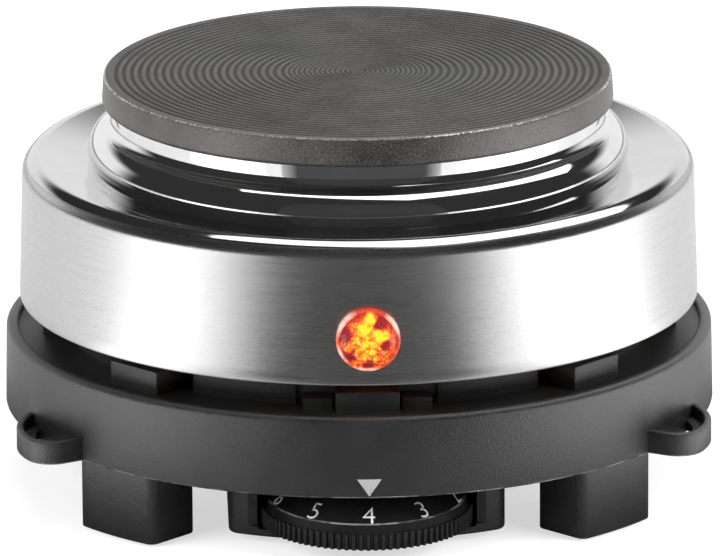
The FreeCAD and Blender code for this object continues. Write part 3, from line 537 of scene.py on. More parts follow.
# %% Housing
top_radius, skirt_radius, shell_wall, shoulder = 66.2, 67.0, 0.8, 3.4
opening_radius, opening_edge, seat_radius = 46.5, 0.2, 55.0
seat_blend = ((-0.6, 0.0), (0.0, 0.04), (0.6, 0.11))
skirt_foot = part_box("housing_shell")[0].z / mm
skirt_head = housing_top + crest_rise - shoulder
shoulder_centre = (top_radius - shoulder, skirt_head)
skirt_rows, shoulder_steps, housing_spin = 10, 18, 256
foot_row, foot_round = 0.012, 0.15
lamp_height, lamp_hole, lamp_cut = 45.0, 4.65, 12.0
tab_inner, tab_half, tab_gap, tab_sheet = 46.5, 6.0, 0.02, 1.0
skirt_slope = 0.72


def skirt_line(inset, first, last):
    """Points up or down the skirt's flare."""
    rows = [first + (last - first) * i / skirt_rows for i in range(skirt_rows + 1)]
    return [(skirt_radius - inset + (top_radius - skirt_radius) * row,
             skirt_foot + (skirt_head - skirt_foot) * row) for row in rows]


seat_across, seat_up = seat_radius - shoulder_centre[0], housing_top - skirt_head
crest = math.atan2(seat_up, seat_across) - math.acos(shoulder / math.hypot(seat_across, seat_up))
crest = math.degrees(crest)
seat_inner = seat_radius + shell_wall * math.tan(math.radians(crest - 90) / 2)
opening_start = (opening_radius, housing_top - opening_edge)
housing_section = [
    opening_start, (opening_radius + opening_edge, housing_top),
    *[(seat_radius + across, housing_top + up) for across, up in seat_blend],
    *on_arc(shoulder_centre, shoulder, crest, 0, shoulder_steps),
    *skirt_line(0.0, 1.0, foot_row)[1:],
    (skirt_radius - foot_round, skirt_foot), (skirt_radius - shell_wall + foot_round, skirt_foot),
    *skirt_line(shell_wall, foot_row, 1.0),
    *on_arc(shoulder_centre, shoulder - shell_wall, 0, crest, shoulder_steps)[1:],
    (seat_inner, housing_top - shell_wall), (opening_radius, housing_top - shell_wall), opening_start,
]
housing = spin_section("housing_pressing", housing_section, housing_spin)

bpy.ops.mesh.primitive_cylinder_add(vertices=64, radius=lamp_hole * mm, depth=lamp_cut * mm,
                                    location=point(0, -skirt_radius, lamp_height),
                                    rotation=(math.pi / 2, 0, 0))
merge_solids(housing, [bpy.context.object], "DIFFERENCE")
tab = mould_block("housing_tab", plan_box(tab_inner, top_radius, tab_half), skirt_foot + tab_gap,
                  skirt_foot + tab_sheet)
merge_solids(housing, turned_set(tab, corner_azimuths), "UNION")
place_piece(housing, "body", "steel_shell", polished, "housing_shell")
second_finish(housing, brushed, lambda face: abs(face.normal.z) < skirt_slope)

# %% [markdown]
# The base is moulded plastic with a fine spark-eroded grain: dark, dull, and a little paler where light
# grazes it. Its grain is a noise of about a third of a millimetre, shallow enough to feel more than see.
# Along the ring's bottom edge a thin, pale, broken line is painted, partly mould flash and partly a painted
# highlight. The wheel's plastic is smoother, with a pale painted highlight along the edge of its number face.

# %% Plastic finishes
edge_line_low, edge_line_high, edge_line_out = 13.9, 14.3, 69.3
rim_highlight_in, rim_highlight_out = 18.9, 19.25
dial_y = -49.0
plastic = grained("moulded_plastic", grey(0.004), grey(0.022, 0.04), size=0.30, rough=(0.33, 0.42),
                  depth=0.14, grain=0.6, Specular_IOR_Level=0.9, IOR=1.7)
broken = plastic.span(plastic.noise(6.0), 0.0, 0.8, from_low=0.42, from_high=0.58)
flash_and_highlight = plastic.product(plastic.between(plastic.axes()[2], edge_line_low, edge_line_high),
                        plastic.math("GREATER_THAN", plastic.radius(), edge_line_out * mm), broken)
# Pale line on the ring's bottom edge: part mould flash, part painted highlight.
plastic.cover(flash_and_highlight, grey(0.34))

dial_plastic = grained("dial_plastic", grey(0.006), grey(0.013), size=0.25, rough=(0.26, 0.36), depth=0.015,
                       Specular_IOR_Level=0.9)
patchy = dial_plastic.span(dial_plastic.noise(3.0), 0.1, 0.7, from_low=0.40, from_high=0.60)
painted_rim_highlight = dial_plastic.product(dial_plastic.between(dial_plastic.radius(dial_y), rim_highlight_in, rim_highlight_out), patchy)
# Painted highlight: a pale broken line along the edge of the number face.
dial_plastic.cover(painted_rim_highlight, grey(0.30))
rubber = grained("black_rubber", grey(0.014), grey(0.030, 0.02), size=0.5, rough=(0.62, 0.80), depth=0.03)
print("plastic, dial plastic and rubber")

# %% [markdown]
# The base is one moulding: a ring wall with a rounded lip, a deck, a collar in four lengths, four pads
# that carry the housing, stops between them, two latches at the front, four legs and two side loops. The
# ring with its deck is spun first.

# %% Base ring
ring_radius, ring_lip, ring_wall = 70.0, 69.7, 2.4
ring_foot, ring_top = 14.0, 30.0
deck_top, deck_under = 28.8, 26.4
lip_inner = ring_lip - ring_wall
inner_round, outer_round, low_round, low_tuck = 0.6, 1.2, 0.3, 0.03
ring_spin = 220
wall_inner = ring_radius - ring_wall
ring_section = [
    (0.0, deck_top), (lip_inner, deck_top),
    *on_arc((lip_inner + inner_round, ring_top - inner_round), inner_round, 180, 90, 4),
    *on_arc((ring_lip - outer_round, ring_top - outer_round), outer_round, 90, 0, 8),
    *on_arc((ring_radius - low_tuck - low_round, ring_foot + low_round), low_round, 0, -90, 3),
    (wall_inner, ring_foot), (wall_inner, deck_under), (0.0, deck_under),
]
base = spin_section("base_moulding", ring_section, ring_spin)
print("base ring", len(base.data.polygons), "faces")

# %% [markdown]
# Each block of the base is modelled once along +X, with rounded edges, and sinks a little into the deck.
# The front length of the collar has a shallow bay. A side loop is a thin upright band with a low ledge
# inside it; both follow one edge, which turns a blunt corner at the front and sweeps back to the ring.

# %% Blocks of the base
sink = 0.6
on_deck = deck_top - sink
leg_inner, leg_outer, leg_half, leg_round, leg_low = 56.5, 69.6, 10.0, 2.0, 0.4
inner_x, corner_y = leg_inner + leg_round, leg_half - leg_round
corner_x = math.sqrt((leg_outer - leg_round) ** 2 - corner_y ** 2)
corner_angle = math.degrees(math.atan2(corner_y, corner_x))
leg_outline = [
    *on_arc((inner_x, -corner_y), leg_round, 180, 270, 5),
    *on_arc((corner_x, -corner_y), leg_round, -90, -corner_angle, 5),
    *plan_arc(leg_outer, -corner_angle, corner_angle, 6)[1:-1],
    *on_arc((corner_x, corner_y), leg_round, corner_angle, 90, 5),
    *on_arc((inner_x, corner_y), leg_round, 90, 180, 5),
]
leg = mould_block("leg", leg_outline, leg_low, deck_under + sink, round_over=0.3)

# Plain blocks and the cutter of the foot's recess: inner and outer end, half width, foot, top, edge round.
block_sizes = {
    "foot_recess": (59.35, 66.65, 6.15, -1.0, 1.8, 0.0),
    "pad": (46.5, 63.5, 6.25, on_deck, 33.5, 0.3),
    "stop": (56.0, 62.5, 6.2, on_deck, 33.0, 0.35),
}
recess, pad, stop = [mould_block(name, plan_box(x0, x1, half), z0, z1, edge)
                     for name, (x0, x1, half, z0, z1, edge) in block_sizes.items()]
merge_solids(leg, [recess], "DIFFERENCE")

collar_outside, collar_inside, collar_top = 57.5, 55.5, 36.8
gap_half, gap_circle, bay_half, bay_depth = 9.25, 56.5, 13.6, 0.9
gap_angle = math.degrees(math.asin(gap_half / gap_circle))
bay_angle = math.degrees(math.asin(bay_half / collar_outside))
collar_start, collar_end = gap_angle - 45, 45 - gap_angle
collar_back = plan_arc(collar_inside, collar_end, collar_start, 40)
collar_outline = plan_arc(collar_outside, collar_start, collar_end, 40) + collar_back
collar = mould_block("collar", collar_outline, on_deck, collar_top, round_over=0.25)
bay_outline = [
    *plan_arc(collar_outside, collar_start, -bay_angle, 12),
    *plan_arc(collar_outside - bay_depth, -bay_angle, bay_angle, 16),
    *plan_arc(collar_outside, bay_angle, collar_end, 12), *collar_back,
]
front_collar = mould_block("front_collar", bay_outline, on_deck, collar_top, round_over=0.2)

latch_inner, latch_outer, latch_near, latch_far, latch_top = 55.9, 60.2, 6.6, 12.4, 31.2
latches = []
for side in (-1, 1):
    near, far = side * latch_near, side * latch_far
    outline = [(latch_inner, near), (latch_outer, near), (latch_outer, far), (latch_inner, far)]
    latches.append(mould_block("latch", outline, on_deck, latch_top, round_over=0.3))

ear_span, ear_reach, ear_corner, ear_sweep = 21.3, 9.1, 5.1, 18.3
ear_wall, ear_low, ear_height = 1.4, 0.02, 4.6
ledge_start, ledge_wall, ledge_low, ledge_height = 0.7, 3.8, 0.3, 2.4
ear_root = ring_radius - ring_wall / 2
ear_tip = math.sqrt(ring_radius ** 2 - (ear_span / 2) ** 2) + ear_reach
ear_y = ear_corner - ear_span / 2


def ear_edge(inset):
    """Edge of a side loop: straight out, round a blunt front corner, then a long sweep back."""
    sweep = ear_sweep - inset
    back = math.degrees(math.acos((ear_root - ear_tip + ear_sweep) / sweep))
    edge = [(ear_root, inset - ear_span / 2)]
    edge += on_arc((ear_tip - ear_corner, ear_y), ear_corner - inset, -90, 0, 12)
    return edge + on_arc((ear_tip - ear_sweep, ear_y), sweep, 0, back, 20)[1:]


def ear_band(side, outer, inner, low, high):
    """Band that follows a side loop between two insets from its edge."""
    outline = [(x, side * y) for x, y in ear_edge(outer) + ear_edge(inner)[::-1]]
    return mould_block("side_loop", outline, ring_foot + low, ring_foot + high, round_over=0.3, segments=3)


ears = {side: [ear_band(side, 0.0, ear_wall, ear_low, ear_height),
               ear_band(side, ledge_start, ledge_wall, ledge_low, ledge_height)] for side in (-1, 1)}
print("leg, pad, stop, collar, latches and side loops")

# %% [markdown]
# The blocks are copied to their places and joined to the ring. At the back a thicker piece of wall takes
# the inlet bush, and two slots, a narrow one and a wider one outside it, are cut for the bush.

# %% Join the base
ear_turn = 60.5
places = [(leg, corner_azimuths), (pad, corner_azimuths), (stop, side_azimuths)]
places += [(collar, side_azimuths[:3]), (front_collar, [front_azimuth])]
places += [(latch, [front_azimuth]) for latch in latches]
places += [(band, [front_azimuth + side * ear_turn]) for side, bands in ears.items() for band in bands]
additions = [copy for piece, azimuths in places for copy in turned_set(piece, azimuths)]
gland_half, gland_inside, gland_outside, gland_low = 8.0, 64.1, 68.6, 16.8
gland_outline = both_sides([(gland_half, gland_inside), (gland_half, gland_outside)])
additions.append(mould_block("gland_wall", gland_outline, gland_low, deck_under + sink))
merge_solids(base, additions, "UNION")

gland_height, slot_low, slot_end = 20.6, 13.0, 72.0
slot_sizes = ((4.7, 62.0), (5.8, 68.0))
slots = []
for half, start in slot_sizes:
    outline = [(half, slot_low)] + on_arc((0.0, gland_height), half, 0, 180, 24) + [(-half, slot_low)]
    slots.append(facing_block("gland_slot", outline, start, slot_end))
merge_solids(base, slots, "DIFFERENCE")
place_piece(base, "body", "plastic_dark", plastic, "base_tray")

# %% [markdown]
# The thumbwheel sits in a shroud under the front of the base. The shroud is a block with a curved front, a
# round pocket for the wheel, a wider opening before it and two stepped holes for screws.

# %% Shroud
shroud_half, shroud_front, shroud_rear = 26.8, 58.0, -22.0
shroud_low, shroud_top, front_round, rear_round = 1.5, 14.38, 3.0, 6.0
front_x, rear_x = shroud_half - front_round, shroud_half - rear_round
front_y = -math.sqrt((shroud_front - front_round) ** 2 - front_x ** 2)
rear_y = shroud_rear - rear_round
front_angle = math.degrees(math.atan2(front_y, front_x))
shroud_outline = [
    *on_arc((rear_x, rear_y), rear_round, 90, 0, 6),
    *on_arc((front_x, front_y), front_round, 0, front_angle, 6),
    *plan_arc(shroud_front, front_angle, -180 - front_angle, 24)[1:-1],
    *on_arc((-front_x, front_y), front_round, -180 - front_angle, -180, 6),
    *on_arc((-rear_x, rear_y), rear_round, 180, 90, 6),
]
shroud = mould_block("shroud_block", shroud_outline, shroud_low, shroud_top, round_over=0.6, segments=3)

pocket_radius, pocket_low, opening_low, cut_top = 21.6, 3.0, 3.5, 20.0
pocket_outline = both_sides([(24.2, -62.0), (24.2, -53.4), (20.5, -52.8)])
cutters = [upright_bar(pocket_radius, pocket_low, cut_top, 0, dial_y, 128)]
cutters.append(mould_block("pocket_front", pocket_outline, opening_low, cut_top))
screw_x, screw_y = 21.0, -28.0
head_way, shank_way = (3.05, 7.0), (1.65, 16.0)
cutters += [upright_bar(radius, 0.0, top, x, screw_y) for x in (-screw_x, screw_x)
            for radius, top in (head_way, shank_way)]
merge_solids(shroud, cutters, "DIFFERENCE")
round_edges(shroud, width=0.12, angle=50.0)
place_piece(shroud, "body", "plastic_dark", plastic, "dial_shroud", flats=True)

# %% [markdown]
# The wheel has ribs for the thumb, a smooth rim and a cone that carries numbers. One rib is drawn and then
# spun as copies round the wheel's own axis, and a spun core is joined to them.

# %% Wheel
wheel_radius, rib_depth, rib_count = 20.7, 0.6, 90
wheel_foot, rib_top = 3.3, 6.6
rib_angle = 360 / rib_count
rib_shape = ((0.0, rib_depth), (0.14, 0.06), (0.22, 0.0), (0.48, 0.0), (0.56, 0.06), (0.70, rib_depth),
             (1.0, rib_depth))
rib_line = []
for share, inset in rib_shape:
    angle = math.radians(share * rib_angle)
    reach = wheel_radius - inset
    rib_line.append(point(reach * math.cos(angle), dial_y + reach * math.sin(angle), wheel_foot))
wheel = draw_line("thumbwheel", rib_line)
bpy.ops.mesh.spin(steps=rib_count, dupli=True, angle=2 * math.pi, center=point(0, dial_y, 0), axis=(0, 0, 1))
bpy.ops.mesh.select_all(action="SELECT")
fill_and_pull(point(0, 0, rib_top - wheel_foot), 5 * merge_distance)
round_edges(wheel, width=0.10, angle=60.0)

face_outer, face_inner, face_foot, face_slope = 19.1, 13.9, 8.2, 38.0
axle_bore, bore_low = 3.05, 5.7
face_head = face_foot + (face_outer - face_inner) * math.tan(math.radians(face_slope))
core_section = [(0.0, 3.5), (19.7, 3.5), (19.9, 6.5), (19.32, 7.9), (19.22, 8.1), (face_outer, face_foot)]
core_section += [(18.95, 8.24), (18.8, 8.3), (face_inner, face_head), (0.0, face_head)]
merge_solids(wheel, [spin_section("wheel_core", core_section, 160, dial_y)], "UNION")
merge_solids(wheel, [upright_bar(axle_bore, bore_low, cut_top, 0, dial_y)], "DIFFERENCE")
place_piece(wheel, "dial", "plastic_dial", dial_plastic, "dial_wheel", flats=True)

# %% [markdown]
# The numbers are printed on the cone, tops towards the axle, with the 4 under the pointer at rest. Text is
# turned into a mesh and laid on the cone by a matrix whose columns are the reading direction, the way up the
# cone and the way out of it. The pointer is a printed triangle on the front of the ring.

# %% Numbers and pointer
paint = grained("white_print", grey(0.62), grey(0.80), size=0.3, rough=(0.45, 0.6), depth=0.004)
silver = grained("silver_print", grey(0.32, -0.02), grey(0.52, -0.02), size=0.4, rough=(0.35, 0.5),
                 depth=0.004)
number_count, rest_number, number_step = 7, 4, 36.0
number_height, number_margin, number_lift, number_thickness = 3.7, 0.15, 0.02, 0.02
text_trim, text_depth = -0.012, 0.02
slope = math.radians(face_slope)
number_middle = face_outer - number_margin - number_height / 2 * math.cos(slope)
number_z = face_foot + (face_outer - number_middle) * math.tan(slope)
for number in range(number_count):
    azimuth = math.radians(front_azimuth - number_step * (number - rest_number))
    outwards = Vector((math.cos(azimuth), math.sin(azimuth), 0))
    reading = Vector((-outwards.y, outwards.x, 0))
    upwards = Vector((0, 0, 1)) * math.sin(slope) - outwards * math.cos(slope)
    proud = reading.cross(upwards)
    bpy.ops.object.text_add()
    text = bpy.context.object
    text.data.body = str(number)
    text.data.align_x = "CENTER"
    text.data.offset = text_trim
    text.data.extrude = text_depth
    text.data.resolution_u = 6
    bpy.ops.object.convert(target="MESH")
    digit = bpy.context.object
    digit.name = f"number_{number}"
    heights = [v.co.y for v in digit.data.vertices]
    scale = number_height * mm / (max(heights) - min(heights))
    middle = point(0, dial_y, number_z) + outwards * number_middle * mm + proud * number_lift * mm
    start = middle - upwards * (max(heights) + min(heights)) / 2 * scale
    turn = Matrix((reading, upwards, proud)).transposed().to_4x4()
    size = Matrix.Diagonal((scale, scale, number_thickness * mm / text_depth, 1))
    digit.matrix_world = Matrix.Translation(start) @ turn @ size
    bpy.ops.object.transform_apply()
    mode("EDIT")
    close_mesh()
    place_piece(digit, "dial", "plastic_dial", paint)

pointer_half, pointer_top, pointer_tip = 2.35, 17.8, 14.4
pointer_back, pointer_front = -69.5, -69.999
pointer_corners = ((-pointer_half, pointer_top), (pointer_half, pointer_top), (0, pointer_tip))
pointer = facing_block("pointer", pointer_corners, pointer_back, pointer_front)
place_piece(pointer, "body", "plastic_dark", silver)

# %% [markdown]
# The lamp is a lens of clear orange-red plastic with a glow behind it. The glow is in the finish: yellow
# where the bulb stands right behind, orange round it and deep red at the edge, broken up cell by cell. A
# few pale places on the smooth rim are painted highlights.

# %% Lens finish
lamp_row = (lamp_height - skirt_foot) / (skirt_head - skirt_foot)
lens_face = skirt_radius + (top_radius - skirt_radius) * lamp_row
# Spots of light and shade behind the lens: across, up and radius from its middle, in millimetres.
bulb_spots = ((-0.6, 2.5, 2.3), (2.2, 1.2, 2.4), (0.45, 4.4, 1.6))
halo_spot = (-0.5, -0.9, 7.0)
shade_spots = ((0.0, -4.7, 1.6), (-4.3, 1.2, 2.0), (2.2, 3.3, 1.6), (3.3, -0.5, 1.4), (-2.8, -1.8, 0.9),
               (-3.5, -3.0, 1.7))
rim_highlight_spots = ((-4.7, 3.4, 3.4), (4.9, 3.0, 2.8), (-0.6, -6.0, 2.8), (-5.2, -2.8, 2.2))
bulb_level, shade_level, rim_tint = 1.5, 0.75, 0.6
cell_size, patch_size, rim_start, rim_full = 0.6, 1.1, 5.3, 5.8
glow_stops = ((0.0, (0.12, 0.004, 0.006)), (0.12, (0.36, 0.025, 0.012)), (0.30, (0.86, 0.14, 0.010)),
              (0.52, (1.0, 0.42, 0.01)), (0.88, (1.0, 0.84, 0.02)))
red_stops = ((0.0, (0.22, 0.012, 0.014)), (0.6, (0.60, 0.10, 0.02)))

lens = Finish("lit_lens", Roughness=0.16, Coat_Weight=0.25, Coat_Roughness=0.08, Specular_IOR_Level=0.4,
              Emission_Strength=0.9)
lens_x, _, lens_z = lens.axes()
across = lens.product(lens_x, 1 / mm)
upward = lens.product(lens.math("SUBTRACT", lens_z, lamp_height * mm), 1 / mm)


def lens_distance(x, z):
    """Distance from a place on the lens in millimetres."""
    dx, dz = lens.math("SUBTRACT", across, x), lens.math("SUBTRACT", upward, z)
    return lens.math("SQRT", lens.math("ADD", lens.product(dx, dx), lens.product(dz, dz)))


def glow_spots(*spots):
    """1 in the middle of each spot and 0 outside them."""
    return lens.highest(*[lens.span(lens_distance(x, z), 1.0, 0.0, 0.0, radius) for x, z, radius in spots])


cells = lens.add("TexVoronoi", {"Vector": lens.place, "Scale": 1 / (cell_size * mm)}, feature="F1")
cell_shade = lens.add("SeparateColor", {0: cells.outputs["Color"]}).outputs[0]
patches = lens.noise(patch_size, detail=3.0)
halo = lens.product(glow_spots(halo_spot), lens.span(cell_shade, 0.30, 1.15))
heat = lens.highest(lens.product(glow_spots(*bulb_spots), bulb_level), halo)
heat = lens.math("SUBTRACT", heat, lens.product(glow_spots(*shade_spots), shade_level))
sparkle = lens.span(cells.outputs["Distance"], 1.6, 0.8, from_low=0.05, from_high=0.6)
heat = lens.product(heat, lens.span(patches, 0.6, 1.4, from_low=0.35, from_high=0.65), sparkle)
lens.wire(lens.ramp(heat, *glow_stops), "Emission Color")
lens.wire(lens.ramp(heat, *red_stops), "Base Color")
on_rim = lens.span(lens_distance(0.0, 0.0), 0.0, 1.0, rim_start, rim_full)
lens.cover(lens.product(on_rim, rim_tint), (0.62, 0.09, 0.04))
rim_highlight_breaks = lens.span(patches, 0.8, 2.2, from_low=0.35, from_high=0.60)
# Painted highlights: pale spots on the smooth rim of the lens.
lens.cover(lens.product(glow_spots(*rim_highlight_spots), on_rim, rim_highlight_breaks), (0.90, 0.56, 0.45))
lens.bump(cells.outputs["Distance"], 0.08)
print("lens finish round a face at", round(lens_face, 2), "mm")

# %% [markdown]
# The lens has a smooth rim, a ring of slanted facets and a middle of small pyramids. Few steps in the spin
# and flat shading give the facets. Poking the faces of a round patch of grid gives the pyramids.

# %% Lens
crown_steps, crown_height = 40, 2.15
lens_section = ((0.0, -1.6), (3.3, -1.6), (3.3, -12.0), (4.5, -12.0), (4.5, -0.4), (6.2, -0.4), (6.2, 0.85),
                (6.08, 1.12), (5.85, 1.25), (5.55, 1.28), (5.3, 1.2), (4.35, 2.1), (4.2, crown_height),
                (0.0, crown_height))
crown = draw_line("lens_crown", [point(r, -(lens_face + h), lamp_height) for r, h in lens_section])
bpy.ops.mesh.spin(steps=crown_steps, angle=2 * math.pi, center=point(0, 0, lamp_height), axis=(0, 1, 0))
close_mesh()
place_piece(crown, "body", "lens_amber", lens, "indicator_lens", smooth=8.0)

prism_count, prism_field, prism_radius, prism_base, prism_rise = 17, 8.4, 4.15, 0.12, 0.22
crown_middle = point(0, -(lens_face + crown_height), lamp_height)
bpy.ops.mesh.primitive_grid_add(x_subdivisions=prism_count, y_subdivisions=prism_count, size=prism_field * mm,
                                location=crown_middle, rotation=(math.pi / 2, 0.0, 0.0))
prisms = bpy.context.object
prisms.name = "lens_prisms"
bpy.ops.object.transform_apply()
mode("EDIT")
bpy.ops.mesh.select_mode(type="FACE")
bpy.ops.mesh.select_all(action="DESELECT")
mode("OBJECT")
for face in prisms.data.polygons:
    face.select = (Vector(face.center) - crown_middle).length > prism_radius * mm
mode("EDIT")
bpy.ops.mesh.delete(type="FACE")
bpy.ops.mesh.select_all(action="SELECT")
extrude(point(0, -prism_base, 0))
bpy.ops.mesh.poke(offset=prism_rise * mm)
bpy.ops.mesh.select_mode(type="VERT")
close_mesh()
place_piece(prisms, "body", "lens_amber", lens, smooth=5.0)

# %% [markdown]
# What the CAD model already shapes well keeps its mesh: the foot pads, the inlet bush, the bottom cover and
# everything inside. Each material slot of the record gets a finish, so that nothing stays a flat colour.

# %% Finishes of the CAD nodes
# Each row: name, dark and light tone, size of the grain, roughness span, depth of the bump, metallic share.
cad_finishes = {
    "steel_parts": ("plain_steel", grey(0.42), grey(0.58), 0.6, (0.30, 0.46), 0.006, 1.0),
    "aluminium": ("aluminium_sheet", grey(0.60), grey(0.74), 0.8, (0.28, 0.42), 0.004, 1.0),
    "brass": ("turned_brass", (0.50, 0.33, 0.10), (0.66, 0.46, 0.17), 0.6, (0.24, 0.38), 0.004, 1.0),
    "ceramic": ("fired_ceramic", (0.60, 0.56, 0.48), (0.74, 0.71, 0.64), 0.5, (0.35, 0.55), 0.02, 0.0),
    "lamp_glass": ("lamp_glass", (0.70, 0.22, 0.05), (0.85, 0.34, 0.08), 1.0, (0.08, 0.16), 0.002, 0.0),
    "wire_sleeve": ("wire_sleeve", (0.46, 0.40, 0.34), (0.58, 0.52, 0.46), 0.4, (0.5, 0.7), 0.03, 0.0),
    "wire_earth_sleeve": ("earth_sleeve", (0.12, 0.30, 0.06), (0.50, 0.48, 0.06), 2.5, (0.5, 0.7), 0.03, 0.0),
}
slot_finishes = {slot: grained(*row[:-1], Metallic=row[-1]) for slot, row in cad_finishes.items()}
slot_finishes.update({"cast_iron": iron, "chrome": chrome, "steel_shell": polished, "plastic_dark": plastic,
                      "plastic_dial": dial_plastic, "lens_amber": lens, "rubber": rubber})
for part in frame["record"]["subparts"]:
    mesh = nodes[part["node"]].data
    mesh.materials.clear()
    mesh.materials.append(slot_finishes[part["material_slot"]].material)
print(len(slot_finishes), "finishes on", len(nodes), "nodes")

# %% [markdown]
# The photograph's camera stands a long way off with a long lens, about 16 degrees above the table. The
# object is turned a degree and a half from it, so the camera goes round by that angle instead. Its focal
# length comes from the width of the plate in the picture.

# %% Camera
picture_width = 720
focal_pixels = 10547.4
camera_distance, camera_height, camera_side = 2000.0, 625.8, 0.25
camera_pitch, camera_roll, camera_turn = 16.39, -0.32, -1.5
bpy.ops.object.camera_add()
camera = bpy.context.object
camera.data.sensor_width = 36.0
camera.data.lens = focal_pixels / picture_width * camera.data.sensor_width
turn = Matrix.Rotation(math.radians(camera_turn), 4, "Z")
stand = Matrix.Translation(point(camera_side, -camera_distance, camera_height))
tilt = Matrix.Rotation(math.radians(90 - camera_pitch), 4, "X")
roll = Matrix.Rotation(math.radians(camera_roll), 4, "Z")
camera.matrix_world = turn @ stand @ tilt @ roll
bpy.context.scene.camera = camera
print("lens", round(camera.data.lens, 1), "mm")

# %% [markdown]
# The studio has a pale floor, a soft box on each side and one above. The floor is nearly white to the
# camera. In reflections it is painted darker close to the object, as painted shade from the base.

# %% Floor and lamps
scene = bpy.context.scene
scene.view_settings.view_transform = "Standard"
white = (1, 1, 1, 1)

floor_size, floor_gap = 12.0, 0.05
floor_shade_in, floor_shade_out = 92.0, 112.0
seen_level, mirror_level = 0.62, 0.20
bpy.ops.mesh.primitive_plane_add(size=floor_size, location=point(0, 0, -floor_gap))
floor = bpy.context.object
floor.name = "floor"
pale = Finish("pale_floor", Roughness=0.9, Specular_IOR_Level=0.0, Emission_Color=white)
paths = pale.add("LightPath").outputs
painted_floor_shade = pale.span(pale.radius(), 1.0, 0.0, floor_shade_in * mm, floor_shade_out * mm)
painted_floor_shade = pale.product(painted_floor_shade, paths["Is Glossy Ray"])
pale.wire(pale.ramp(pale.noise(60.0), (0.3, grey(0.54)), (0.7, grey(0.56))), "Base Color")
# Painted shade: darker floor close to the object, seen only in reflections.
pale.cover(painted_floor_shade, grey(0.12))
seen = pale.product(pale.highest(paths["Is Camera Ray"], paths["Is Transmission Ray"]), seen_level)
mirrored = pale.product(pale.math("SUBTRACT", paths["Is Glossy Ray"], painted_floor_shade), mirror_level)
pale.wire(pale.math("ADD", seen, mirrored), "Emission Strength")
floor.data.materials.append(pale.material)

lamp_distance, lamp_aim = 1.3, point(0, 0, 40)


def soft_box(name, azimuth, elevation, width, height, power, in_mirrors):
    """Area lamp at an azimuth from the front, to the right, that faces the object."""
    a, e = math.radians(azimuth), math.radians(elevation)
    place = Vector((math.sin(a) * math.cos(e), -math.cos(a) * math.cos(e), math.sin(e))) * lamp_distance
    bpy.ops.object.light_add(type="AREA", location=place)
    lamp = bpy.context.object
    lamp.name = name
    lamp.data.shape = "RECTANGLE"
    lamp.data.size, lamp.data.size_y = width, height
    lamp.data.energy = power
    lamp.rotation_mode = "QUATERNION"
    lamp.rotation_quaternion = (lamp_aim - place).to_track_quat("-Z", "Y")
    lamp.visible_glossy = in_mirrors


soft_box("left_box", azimuth=-60, elevation=28, width=0.8, height=0.8, power=18, in_mirrors=False)
soft_box("right_box", azimuth=66, elevation=28, width=0.9, height=0.8, power=22, in_mirrors=False)
soft_box("top_box", azimuth=145, elevation=70, width=1.3, height=1.5, power=12.5, in_mirrors=True)
print("floor and three soft boxes")

# %% [markdown]
# Shiny metal shows its shape by what it mirrors. So a dark card stands in front, which draws the dark band
# down the middle of the steel, and a bright card lies on each side. The cards show only in reflections, and
# near its sides each one fades to the tone of the floor.

# %% Cards
card_fade, card_lift, card_bend = 7.0, 0.035, 10.0
card_height, card_run = 0.002, 0.05


def card_finish(name, tone, middle, half, level, edge_level):
    """Plain card whose glow changes to that of the floor over its last degrees."""
    finish = grained(name, grey(tone), grey(tone * 1.12), 20.0, (0.8, 0.9), 0.01, Emission_Color=white)
    x, y, z = finish.axes()
    azimuth = finish.math("ARCTAN2", x, finish.product(y, -1.0))
    off = finish.math("ABSOLUTE", finish.math("SUBTRACT", azimuth, math.radians(middle)))
    fade_start, fade_end = math.radians(half - card_fade), math.radians(half)
    change = finish.span(off, card_lift, edge_level - level, fade_start, fade_end)
    change = finish.product(change, finish.math("LESS_THAN", z, card_bend * mm))
    finish.wire(finish.math("ADD", change, level), "Emission Strength")
    return finish


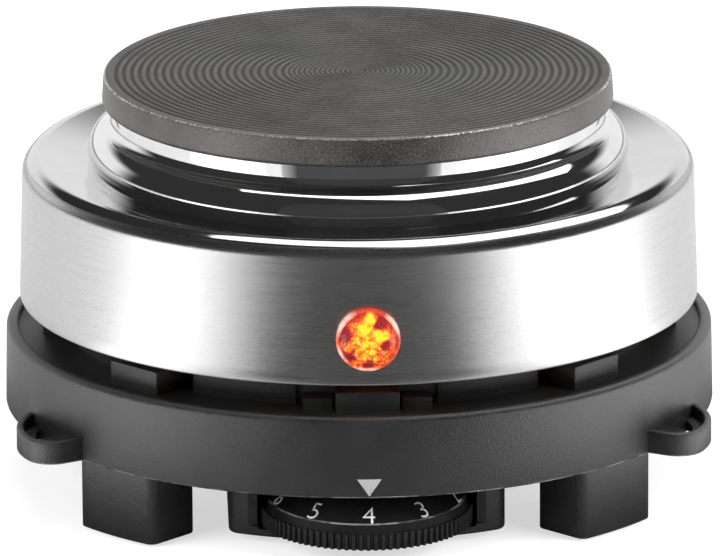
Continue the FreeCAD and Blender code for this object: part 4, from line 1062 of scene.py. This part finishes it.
def floor_card(name, start, end, near, far, rise, tone, level, edge_level):
    """Card on the floor between two azimuths, turned up at its far edge, that shows only in reflections."""
    middle, half = (start + end) / 2, (end - start) / 2
    finish = card_finish(name, tone, middle, half, level, edge_level)
    reach = math.tan(math.radians(half)) * near
    card = draw_line(name, [Vector((-reach, -near, card_height)), Vector((reach, -near, card_height))])
    extrude((0, near - far, 0))
    bpy.ops.transform.resize(value=(far / near, 1, 1))
    extrude((0, -card_run, rise))
    mode("OBJECT")
    card.rotation_euler.z = math.radians(middle)
    bpy.ops.object.transform_apply()
    card.data.materials.append(finish.material)
    card.visible_camera = False
    card.visible_diffuse = False
    card.visible_shadow = False


dark = {"near": 0.10, "far": 1.1, "rise": 1.6, "tone": 0.002, "level": 0.035, "edge_level": 0.60}
bright = {"near": 0.10, "far": 1.2, "rise": 0.02, "tone": 0.50, "level": 1.15, "edge_level": 0.25}
floor_card("dark_card", start=-35, end=35, **dark)
floor_card("left_card", start=-82, end=-42, **bright)
floor_card("right_card", start=42, end=100, **bright)
print("a dark card and two bright ones")

# %% [markdown]
# The room is white to the camera and gives the object a dim fill. In reflections it is dark but for a low
# bright wall at the back.

# %% Room
fill_level, wall_level, dark_level = 0.10, 1.0, 0.035
overhead_start, overhead_end, back_start, back_end = 0.30, 0.46, 0.35, 0.65
world = bpy.data.worlds.new("studio")
scene.world = world
world.use_nodes = True
background = world.node_tree.nodes["Background"]
background.inputs["Color"].default_value = white
sky = Nodes(world.node_tree)
rays = sky.add("LightPath").outputs
ways = sky.add("SeparateXYZ", {0: sky.add("TexCoord").outputs["Generated"]}).outputs


def fade(way, start, end, low, high):
    """Smooth change between two levels over a span of the direction."""
    return sky.span(ways[way], low, high, start, end, interpolation_type="SMOOTHSTEP")


def choose(ray, yes, no):
    """One strength for a kind of ray and another for the rest."""
    return sky.add("Mix", {0: rays[ray], 2: no, 3: yes}).outputs[0]


wall = fade("Z", overhead_start, overhead_end, wall_level, dark_level)
wall = fade("Y", back_start, back_end, dark_level, wall)
strength = choose("Is Glossy Ray", wall, fill_level)
strength = choose("Is Transmission Ray", 1.0, choose("Is Camera Ray", 1.0, strength))
sky.tree.links.new(strength, background.inputs["Strength"])
print("room with a fill of", fill_level)
